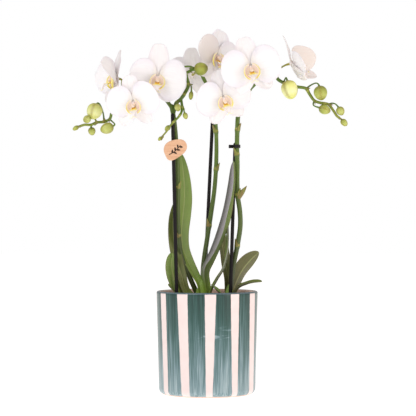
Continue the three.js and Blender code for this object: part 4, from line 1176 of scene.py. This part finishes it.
def bud(name, seed):
    """Three sepals closed edge to edge: shallow seams run from the stalk to a blunt point."""
    centre, length, width, points_to, tone = BUDS[name]
    rng = random.Random(seed)
    way = unit(np.array(points_to, float))
    side = unit(np.cross(way, [0.2, 1, 0.1]))
    spin = rng.uniform(0, 2 * math.pi)
    other = np.cross(way, side)
    axes = [
        side * math.cos(spin) + other * math.sin(spin),
        other * math.cos(spin) - side * math.sin(spin),
        way,
    ]

    def seamed(p, q):
        seam = np.abs(np.cos(1.5 * q)) ** 14
        full = 1 + 0.12 * np.cos(p) - 0.1 * clamp(np.cos(math.pi - p) - 0.75) * 2
        return full * (1 - 0.06 * seam) * (1 + 0.03 * np.cos(3 * q))

    rows, sides = 30, 60
    points, faces, values = ellipsoid(
        np.array(centre) + UP_TO_RIM, (width / 2, width / 2, length / 2), axes, rows, sides, seamed
    )
    # where the seams' painted shade lies
    seam = np.abs(np.cos(1.5 * values["around"])) ** 14 * clamp(np.sin(np.pi * values["along"]) * 2)
    Shells().add((points, faces, values), seam=seam, tone=tone).piece(
        f"{name}_sepals", MATERIALS["bud"], "bud", name
    )


# ---------------------------------------------------------------- flower spikes
# Each spike has one or more stretches, thick to thin, and the flower and bud stalks leave them at
# the point of that number. A stalk sets out towards the last three numbers.
BASE_THICK, TOP_THICK, ARM_THICK, TIP_THICK = 2.8, 2.4, 2.1, 1.4
PEDICEL_RADIUS, BUD_STALK_RADIUS = 1.05, 0.9
STALK_SIDES = 14
SPIKES = {
    "spike_left": dict(
        stretches={
            "stem": ([(-9, 9, -8), (-19.8, 5, 16.8), (-27.9, 1, 37.7), (-31.1, -6, 63.9),
                      (-31.8, -8.5, 87.8), (-31.6, -9, 111.7), (-32.3, -8, 142), (-33.8, -8, 165.8),
                      (-36, -7, 187.5), (-38.6, -6, 200.5)], BASE_THICK, TOP_THICK, 0.1, 0.35),
            "arm": ([(-37.4, -6.3, 197.5), (-45.6, -5, 208.2), (-54.4, -3, 214.1),
                     (-65.3, 0, 220.4),
                     (-77.4, 3, 222.3), (-88.4, 5, 218), (-98.1, 3, 207.6), (-103.4, 0, 195.4),
                     (-105.7, -3, 186.6), (-112.3, -5, 183.5), (-119.8, -7, 182.6),
                     (-125.7, -8, 180.1),
                     (-132.7, -8, 180.1), (-137.1, -8, 178.8)], ARM_THICK, TIP_THICK, 0.35, 0.75),
            "inner": ([(-36.3, -6.5, 193), (-33.6, -6, 203.2), (-28.3, -7, 208.3),
                       (-23.4, -8, 215.6),
                       (-20.2, -8, 223.5), (-22.5, -8, 232.9), (-22.6, -8, 235.9),
                       (-18.5, -7, 238.4),
                       (-14.8, -6, 241.6)], ARM_THICK, 1.6, 0.35, 0.6),
            "droop": ([(-28.3, -7, 208.3), (-27.1, -10, 200.3), (-27.6, -13, 193.7),
                       (-31.1, -16, 187.8),
                       (-37.8, -18, 181), (-43.7, -19, 172.4),
                       (-47.8, -19, 167.6)], 1.5, 0.9, 0.5, 0.8),
        },
        stalks=[
            ("flower_left_end", "arm", 5, (-10, 0, 8)),
            ("flower_left_front", "arm", 4, (0, -8, -6)),
            ("flower_left_upper", "inner", 8, (-8, 6, 8)),
            ("bud_left_1", "arm", 9, (2, -2, 8)),
            ("bud_left_2", "arm", 8, (3, -2, -4)),
            ("bud_left_3", "arm", 10, (0, -2, 4)),
            ("bud_left_4", "arm", 10, (-1, 3, 0)),
            ("bud_left_5", "arm", 13, (-1, 0, 0)),
            ("bud_inner_1", "inner", 7, (2, -1, 0)),
            ("bud_inner_2", "inner", 4, (3, 0, 3)),
            ("bud_inner_3", "inner", 3, (-3, -3, 0)),
            ("bud_inner_4", "inner", 1, (1, -4, 2)),
            ("bud_droop_1", "droop", 1, (2, 0, 0)),
            ("bud_droop_2", "droop", 4, (-1, 2, 0)),
            ("bud_droop_3", "droop", 6, (-1, 0, -1)),
        ],
        joints=[60, 112, 158],
    ),
    "spike_middle": dict(
        stretches={
            "stem": ([(-4, 12, -6), (-4.3, 15, 24.3), (-0.1, 15, 55), (4.3, 15, 83.4),
                      (8.2, 15, 111.9),
                      (10.1, 14, 142.5), (9.7, 13, 177.5), (7, 12, 201.5), (2.1, 14, 219),
                      (-4.5, 17, 233.3),
                      (-9, 21, 243.3)], BASE_THICK, TOP_THICK * 0.8, 0.1, 0.6),
        },
        stalks=[
            ("flower_middle_front", "stem", 7, (4, -6, 4)),
            ("flower_middle_upper", "stem", 9, (0, 2, 8)),
            ("flower_middle_back", "stem", 10, (-2, 3, 3)),
        ],
        joints=[70, 132, 174],
    ),
    "spike_right": dict(
        stretches={
            "stem": ([(24, 4, -8), (28.6, 5, 26.8), (32.9, 4, 48.6), (36.1, 2, 70.4),
                      (35.6, 1, 86.7),
                      (33.3, 0, 103), (32.7, 0, 120.4), (32.9, 0, 136.7), (32.5, 0, 153),
                      (32.9, 0, 174.8),
                      (33.9, 1, 191.1), (38.5, 1, 207.5),
                      (47, 0, 219.9)], BASE_THICK, TOP_THICK, 0.1, 0.45),
            "arm": ([(47, 0, 219.9), (56.4, -1, 228.5), (66.1, -2, 233.9), (74.1, -3, 234.4),
                     (76.9, -4, 229.6), (82.3, -5, 226.1), (89.8, -6, 222.9), (98.5, -7, 221.1),
                     (107.1, -8, 219.3), (110.9, -8, 213.4), (116.4, -8, 206.1), (124.4, -8, 203.5),
                     (131.4, -8, 202.2), (136.3, -8, 196.1), (140.6, -8, 189.6),
                     (143.1, -8, 187.6)],
                    ARM_THICK, TIP_THICK, 0.45, 0.8),
        },
        stalks=[
            ("flower_right_front", "arm", 1, (0, -6, 4)),
            ("flower_right_end", "arm", 3, (4, 0, 6)),
            ("bud_right_1", "arm", 5, (3, -4, 3)),
            ("bud_right_2", "arm", 8, (8, -2, 6)),
            ("bud_right_3", "arm", 10, (-4, -2, -6)),
            ("bud_right_4", "arm", 12, (6, 0, 3)),
            ("bud_right_5", "arm", 15, (1, 0, 0)),
        ],
        joints=[49, 104, 148, 175],
    ),
}


def bract(shells, foot, way, outward, length, girth, tone, wrap=75, flare=1.2):
    """A small pointed scale that clasps the stem below a joint or a stalk.

    girth is the radius that it clasps, wrap how far round it reaches on each side, in degrees,
    and flare how far its point stands off the stem."""
    foot, way, outward = np.asarray(foot), unit(np.asarray(way, float)), np.asarray(outward, float)
    outward = unit(outward - way * np.dot(outward, way))
    across = np.cross(way, outward)

    def surface(s, t):
        angle = np.radians(wrap) * t * (1 - s**1.6) + 0.02 * t
        radius = girth + 0.25 + flare * s**2
        return (
            foot
            + way * (length * s)[..., None]
            + across * (radius * np.sin(angle))[..., None]
            + outward * (radius * np.cos(angle))[..., None]
        )

    shells.add(sheet(surface, 0.45, 14, 11), tone=tone, ring=0.3, dry=0.7)


def ripeness(owner, s):
    """A stalk is green, and turns olive-yellow where it carries an open flower."""
    low, high = (0.5, 1.0) if owner in FLOWERS else (0.35, 0.65)
    caps = len(CAP_ANGLES)
    share = np.repeat(np.concatenate([[0] * caps, s, [1] * caps]), STALK_SIDES)
    return low + (high - low) * np.append(share, [0, 1])


def spike(name, spec):
    shells = Shells()
    curves = {}
    for key, (path, thick, thin, from_tone, to_tone) in spec["stretches"].items():
        curve = curves[key] = Curve(np.array(path) + UP_TO_RIM)
        count = int(curve.length / 1.3)
        s = np.linspace(0, 1, count)
        radius = thick + (thin - thick) * s
        ring = np.zeros(count)
        if key == "stem":
            joints = [curve.share_at_height(RIM + z) for z in spec["joints"]]
        else:
            joints = [k / 5 for k in range(1, 5)]
        for joint in joints:
            gap = (s - joint) * curve.length
            radius = radius + 0.5 * bell(gap, 2.2) * (1 if key == "stem" else 0.5)
            ring = np.maximum(ring, bell(gap, 0.9, 1.2) * 0.7)
        shell = tube(curve.at(s), radius, 18)
        along = shell[2]["along"]
        tone = from_tone + (to_tone - from_tone) * along
        shells.add(shell, tone=tone, ring=np.interp(along, s, ring))
        if key == "stem":
            for k, joint in enumerate(joints):
                tangent = curve.tangent(joint)
                outward = [1 if k % 2 else -1, -0.6, 0]
                bract(shells, curve.at(joint) - tangent, tangent, outward, 9, thick, 0.45)
    for owner, key, at, by in spec["stalks"]:
        path = spec["stretches"][key][0]
        start = np.array(path[at], float) + UP_TO_RIM
        if owner in FLOWERS:
            matrix, centre = flower_frame(FLOWERS[owner])
            way, end, pull = matrix[:, 2], centre - matrix[:, 2] * (RECEPTACLE_DEPTH - 0.6), 9
            radius = PEDICEL_RADIUS
        else:
            centre, length, _, points_to, _ = BUDS[owner]
            way = unit(np.array(points_to, float))
            end, pull = np.array(centre) + UP_TO_RIM - way * (length / 2 - 0.8), length * 0.4
            radius = BUD_STALK_RADIUS
        count = 26
        points = bezier(start, start + np.array(by), end - way * pull, end, count)
        s = np.linspace(0, 1, count)
        radii = radius * (0.95 + 0.12 * np.cos(2 * np.pi * s) + 0.35 * clamp(s - 0.85) / 0.15)
        shells.add(tube(points, radii, STALK_SIDES), tone=ripeness(owner, s), ring=0)
        setting_out = unit(points[3] - points[0])
        bract(shells, start - setting_out * 0.5, setting_out, [0.2, -0.5, -1], 5, radius + 0.5, 0.4)
    if name == "spike_right":
        foot = curves["stem"].at(curves["stem"].share_at_height(RIM + 101))
        bract(shells, foot, (0.58, -0.1, 0.8), (0.1, -1, 0.1), 17, 2.6, 0.3, wrap=100, flare=-0.6)
    shells.piece(f"{name}_stems", MATERIALS["stem"], "stem", name)
    return curves


# ---------------------------------------------------------------- stakes, clips and tag
def stake(name):
    """A round rod with faint rings along it and a domed top."""
    low, high = box_mm(name)
    foot, top = STAKES[name]
    foot, top = np.array(foot) + UP_TO_RIM, np.array(top) + UP_TO_RIM
    way = (top - foot) / (top - foot)[2]
    start = foot + way * (low[2] - foot[2] + 2)
    count = 90
    path = np.linspace(start, top - way * 1.6, count)
    s = np.linspace(0, 1, count)
    radius = STAKE_RADIUS - 0.05 * np.cos(s * 90) ** 8 - 0.04
    shells = Shells().add(tube(path, radius, 24))
    shells.piece(f"{name}_rod", MATERIALS["stake"], "stake_plastic", name)


STAKE_RADIUS = 2.0
STAKES = {
    "stake_left": ((-32.9, -14, 0), (-37.3, -14.5, 192)),
    "stake_middle": ((-3, 23, 0), (5.9, 21.5, 184.5)),
    "stake_right": ((25.4, -4.5, 0), (30.6, 6.2, 161)),
}
# The spike and stake that each clip holds, its height, and the way its wings stand out.
CLIPS = {
    "clip_left": ("spike_left", "stake_left", 152.5, 95),
    "clip_right": ("spike_right", "stake_right", 157, 180),
}
CLIP_HEIGHT = 3.6
CLIP_BAND = 1.1
CLIP_SPREAD = 16
CLIP_REACH = 8.2
CLIP_START = 1.6  # from the loop's middle out to a wing's root
LOOP_RADII = (3.2, 2.75)  # round the stem and round the stake


def stake_at(name, height):
    foot, top = (np.array(p, float) for p in STAKES[name])
    return foot + (top - foot) * height / top[2] + UP_TO_RIM


def ribbon(path, thickness, height, bulge=0.25):
    """A flat band on edge along a level path: rounded edges, standing height tall."""
    path = np.asarray(path, float)
    tangents = unit(np.gradient(path, axis=0))
    normals = unit(np.cross(tangents, [0, 0, 1]))
    corners = np.linspace(0, 2 * math.pi, 16, endpoint=False)
    x = np.sign(np.cos(corners)) * np.abs(np.cos(corners)) ** bulge * thickness / 2
    z = np.sign(np.sin(corners)) * np.abs(np.sin(corners)) ** bulge * height / 2
    rings = path[:, None, :] + normals[:, None, :] * x[None, :, None]
    rings = rings + np.array([0, 0, 1.0]) * z[None, :, None]
    points, faces = skin(rings, path[0], path[-1])
    return points, faces, {}


def clip(name, curves):
    """A butterfly clip: a loop round the stem and the stake, and two finger wings."""
    spike_name, stake_name, height, wings = CLIPS[name]
    stem_curve = curves[spike_name]["stem"]
    stem = stem_curve.at(stem_curve.share_at_height(RIM + height))
    post = stake_at(stake_name, height)
    level = np.array([1.0, 1.0, 0])
    gap = (post - stem) * level
    reach = np.linalg.norm(gap)
    facing = math.atan2(gap[1], gap[0])
    around_stem, around_post = LOOP_RADII
    loop = []
    for start, radius, low, high in ((0, around_stem, 90, 270), (reach, around_post, -90, 88)):
        for a in np.radians(np.linspace(low, high, 20)):
            loop.append((start + radius * math.cos(a), radius * math.sin(a), 0))
    turn = np.array([
        [math.cos(facing), -math.sin(facing), 0], [math.sin(facing), math.cos(facing), 0], [0, 0, 1]
    ])
    base = stem * level + np.array([0, 0, RIM + height])
    loop = np.array(loop + loop[:1]) @ turn.T + base
    shells = Shells().add(ribbon(loop, CLIP_BAND, CLIP_HEIGHT))
    middle = (stem + post) / 2 * level + np.array([0, 0, RIM + height])
    for lean in (-CLIP_SPREAD, CLIP_SPREAD):
        a = math.radians(wings + lean)
        away = np.array([math.cos(a), math.sin(a), 0])
        side = np.array([-away[1], away[0], 0]) * (1 if lean > 0 else -1)
        s = np.linspace(0, 1, 16)[:, None]
        length = CLIP_REACH - CLIP_START
        wing = middle + away * (CLIP_START + length * s) + side * (0.9 * s**3)
        shells.add(ribbon(wing, CLIP_BAND, CLIP_HEIGHT))
        for grip in (0.62, 0.76, 0.9):
            foot = middle + away * (CLIP_START + length * grip) + side * (0.9 * grip**3 + 0.45)
            shells.add(tube([foot - [0, 0, 1.3], foot + [0, 0, 1.3]], 0.28, 8))
    shells.add(tube([middle - [0, 0, 2.0], middle + [0, 0, 2.0]], 0.9, 14))
    shells.piece(f"{name}_band", MATERIALS["clip"], "clip_plastic", name)


def outline_points(corners, count):
    """A closed run of cubic curves: each corner entry is two handles and an end point."""
    path = []
    start = corners[-1][-1]
    for first, second, end in corners:
        start, first, second, end = (np.array(p, float) for p in (start, first, second, end))
        path.append(bezier(start, first, second, end, count, endpoint=False))
        start = end
    return np.vstack(path)


TAG_Z = RIM + CLIPS["clip_left"][2]
TAG_HALF_HEIGHT = 11.5
TAG_BOW = 0.5  # how far its two sides bend back from its middle
TAG_FORWARD = 0.25
TAG_CORNERS = [
    ((-1, 0.75), (-0.35, 0.95), (0.3, 1)),
    ((0.8, 1.05), (1.05, 0.62), (1, 0.2)),
    ((0.9, -0.3), (0.45, -0.55), (0.1, -0.8)),
    ((-0.25, -1.05), (-0.6, -1.1), (-0.78, -0.7)),
    ((-0.9, -0.4), (-1, -0.25), (-1, 0)),
]


def tag():
    """A rounded veneer plate with softened edges and a generic leaf sprig printed on it."""
    low, high = box_mm("plant_tag")
    centre, half = (low + high) / 2, (high - low) / 2
    outline = outline_points(TAG_CORNERS, 18) * [half[0], TAG_HALF_HEIGHT]
    middle_y = centre[1]
    rings = []
    for inset, depth in ((0.6, 1), (0.25, 0.86), (0, 0.45), (0, -0.45), (0.25, -0.86), (0.6, -1)):
        scale = 1 - inset / 12
        x, z = outline[:, 0] * scale, outline[:, 1] * scale
        bow = TAG_BOW * (x / half[0]) ** 2
        y = np.full(len(x), middle_y + depth * half[1]) + bow - TAG_FORWARD
        rings.append(xyz(centre[0] + x, y, TAG_Z + z))
    back, front = (
        [centre[0], middle_y + side * half[1] - TAG_FORWARD, TAG_Z] for side in (1, -1)
    )
    inner = []
    for scale in (0.8, 0.6, 0.4, 0.2):
        x, z = outline[:, 0] * scale, outline[:, 1] * scale
        bow = TAG_BOW * (x / half[0]) ** 2 - TAG_FORWARD
        inner.append(xyz(centre[0] + x, middle_y + half[1] + bow, TAG_Z + z))
    outer = [ring * [1, 0, 1] + [0, 1, 0] * (ring[:, 1:2] - 2 * half[1]) for ring in inner]
    points, faces = skin(np.array(inner[::-1] + rings + outer), back, front)
    Shells().add((points, faces, {})).piece("tag_plate", MATERIALS["tag"], "tag_wood", "plant_tag")

    sprig = Shells()
    face_y = middle_y - half[1] - TAG_FORWARD
    stalk = Curve([(-6.5, 0, -5), (-2, 0, -2.5), (2, 0, 1), (5.5, 0, 5)])

    def on_face(points):
        points = np.asarray(points, float)
        bow = TAG_BOW * (points[:, 0] / half[0]) ** 2
        return xyz(centre[0] + points[:, 0], face_y + bow - 0.02, TAG_Z + points[:, 2])

    stalk_path = on_face(stalk.at(np.linspace(0, 1, 30)))
    sprig.add(tube(stalk_path, np.linspace(0.5, 0.3, 30), 8, flatten=0.3))
    for s, side in ((0.18, 1), (0.3, -1), (0.45, 1), (0.58, -1), (0.72, 1), (0.84, -1)):
        foot, way = stalk.at(s), stalk.tangent(s)
        cosine, sine = math.cos(side * 0.9), math.sin(side * 0.9)
        away = np.array([way[0] * cosine - way[2] * sine, 0, way[0] * sine + way[2] * cosine])
        u = np.linspace(0, 1, 12)
        blade = on_face(foot + away * (0.2 + 4.2 * u)[:, None])
        sprig.add(tube(blade, 0.1 + 1.15 * np.sin(np.pi * u) ** 0.8, 10, flatten=0.12))
    sprig.piece("tag_sprig", MATERIALS["print"], "tag_wood", "plant_tag")



# ---------------------------------------------------------------- stage, light and camera
FLOOR_REACH = 6


def stage():
    floor_mesh = bpy.data.meshes.new("floor")
    square = ((-1, -1), (1, -1), (1, 1), (-1, 1))
    corners = [(x * FLOOR_REACH, y * FLOOR_REACH, 0) for x, y in square]
    floor_mesh.from_pydata(corners, [], [(0, 1, 2, 3)])
    shade = Shade("floor_paper", 0.9, Emission_Color=(1, 1, 1, 1), Emission_Strength=0.6)
    floor_mesh.materials.append(shade.finish(rgb(252, 252, 252)))
    floor = bpy.data.objects.new("floor", floor_mesh)
    bpy.context.scene.collection.objects.link(floor)


def area_light(name, place, size, power, colour):
    data = bpy.data.lights.new(name, "AREA")
    data.color = colour
    data.shape = "SQUARE"
    data.size = size
    data.energy = power
    light = bpy.data.objects.new(name, data)
    light.location = place
    light.rotation_euler = (Vector(AIM) - Vector(place)).to_track_quat("-Z", "Y").to_euler()
    bpy.context.scene.collection.objects.link(light)


AMBIENT = 0.5
AIM = (0, 0, 0.25)  # what both lights point at
LIGHTS = {  # place, size, power and colour
    "key": ((-1.05, -1.45, 1.3), 0.9, 12.5, (0.96, 0.98, 1)),
    "fill": ((1.5, -0.9, 0.5), 1.2, 9, (1, 0.86, 0.8)),
}
CAMERA_PLACE = (0.001, -2.0, 0.202)
LENS, SENSOR = 159.2, 36


def lights_and_camera():
    scene = bpy.context.scene
    world = bpy.data.worlds.new("studio")
    world.use_nodes = True
    nodes, links = world.node_tree.nodes, world.node_tree.links
    light = nodes["Background"]
    light.inputs["Color"].default_value = (1, 0.94, 0.91, 1)
    light.inputs["Strength"].default_value = AMBIENT
    backdrop = nodes.new("ShaderNodeBackground")
    backdrop.inputs["Color"].default_value = (1, 1, 1, 1)
    chooser = nodes.new("ShaderNodeMixShader")
    links.new(nodes.new("ShaderNodeLightPath").outputs["Is Camera Ray"], chooser.inputs["Fac"])
    links.new(light.outputs["Background"], chooser.inputs[1])
    links.new(backdrop.outputs["Background"], chooser.inputs[2])
    links.new(chooser.outputs["Shader"], nodes["World Output"].inputs["Surface"])
    scene.world = world
    scene.view_settings.view_transform = "Standard"
    for name, (place, size, power, colour) in LIGHTS.items():
        area_light(name, place, size, power, colour)
    camera_data = bpy.data.cameras.new("camera")
    camera_data.sensor_width = SENSOR
    camera_data.lens = LENS
    camera_data.clip_end = 20
    camera = bpy.data.objects.new("camera", camera_data)
    camera.location = CAMERA_PLACE
    camera.rotation_euler = (math.pi / 2, 0, 0)
    scene.collection.objects.link(camera)
    scene.camera = camera


# ---------------------------------------------------------------- build
pot()
nursery_pot()
bark()
leaf_rng = random.Random(LEAF_SEED)
for leaf_name, leaf_spec in LEAVES.items():
    leaf(leaf_name, leaf_spec, leaf_rng)
for side_name in ("left", "right"):
    crown(side_name)
for number, (flower_name, flower_spec) in enumerate(FLOWERS.items()):
    flower(flower_name, flower_spec, FLOWER_SEED + number)
for number, bud_name in enumerate(BUDS):
    bud(bud_name, BUD_SEED + number)
stem_curves = {name: spike(name, spec) for name, spec in SPIKES.items()}
for stake_name in STAKES:
    stake(stake_name)
for clip_name in CLIPS:
    clip(clip_name, stem_curves)
tag()
stage()
lights_and_camera()
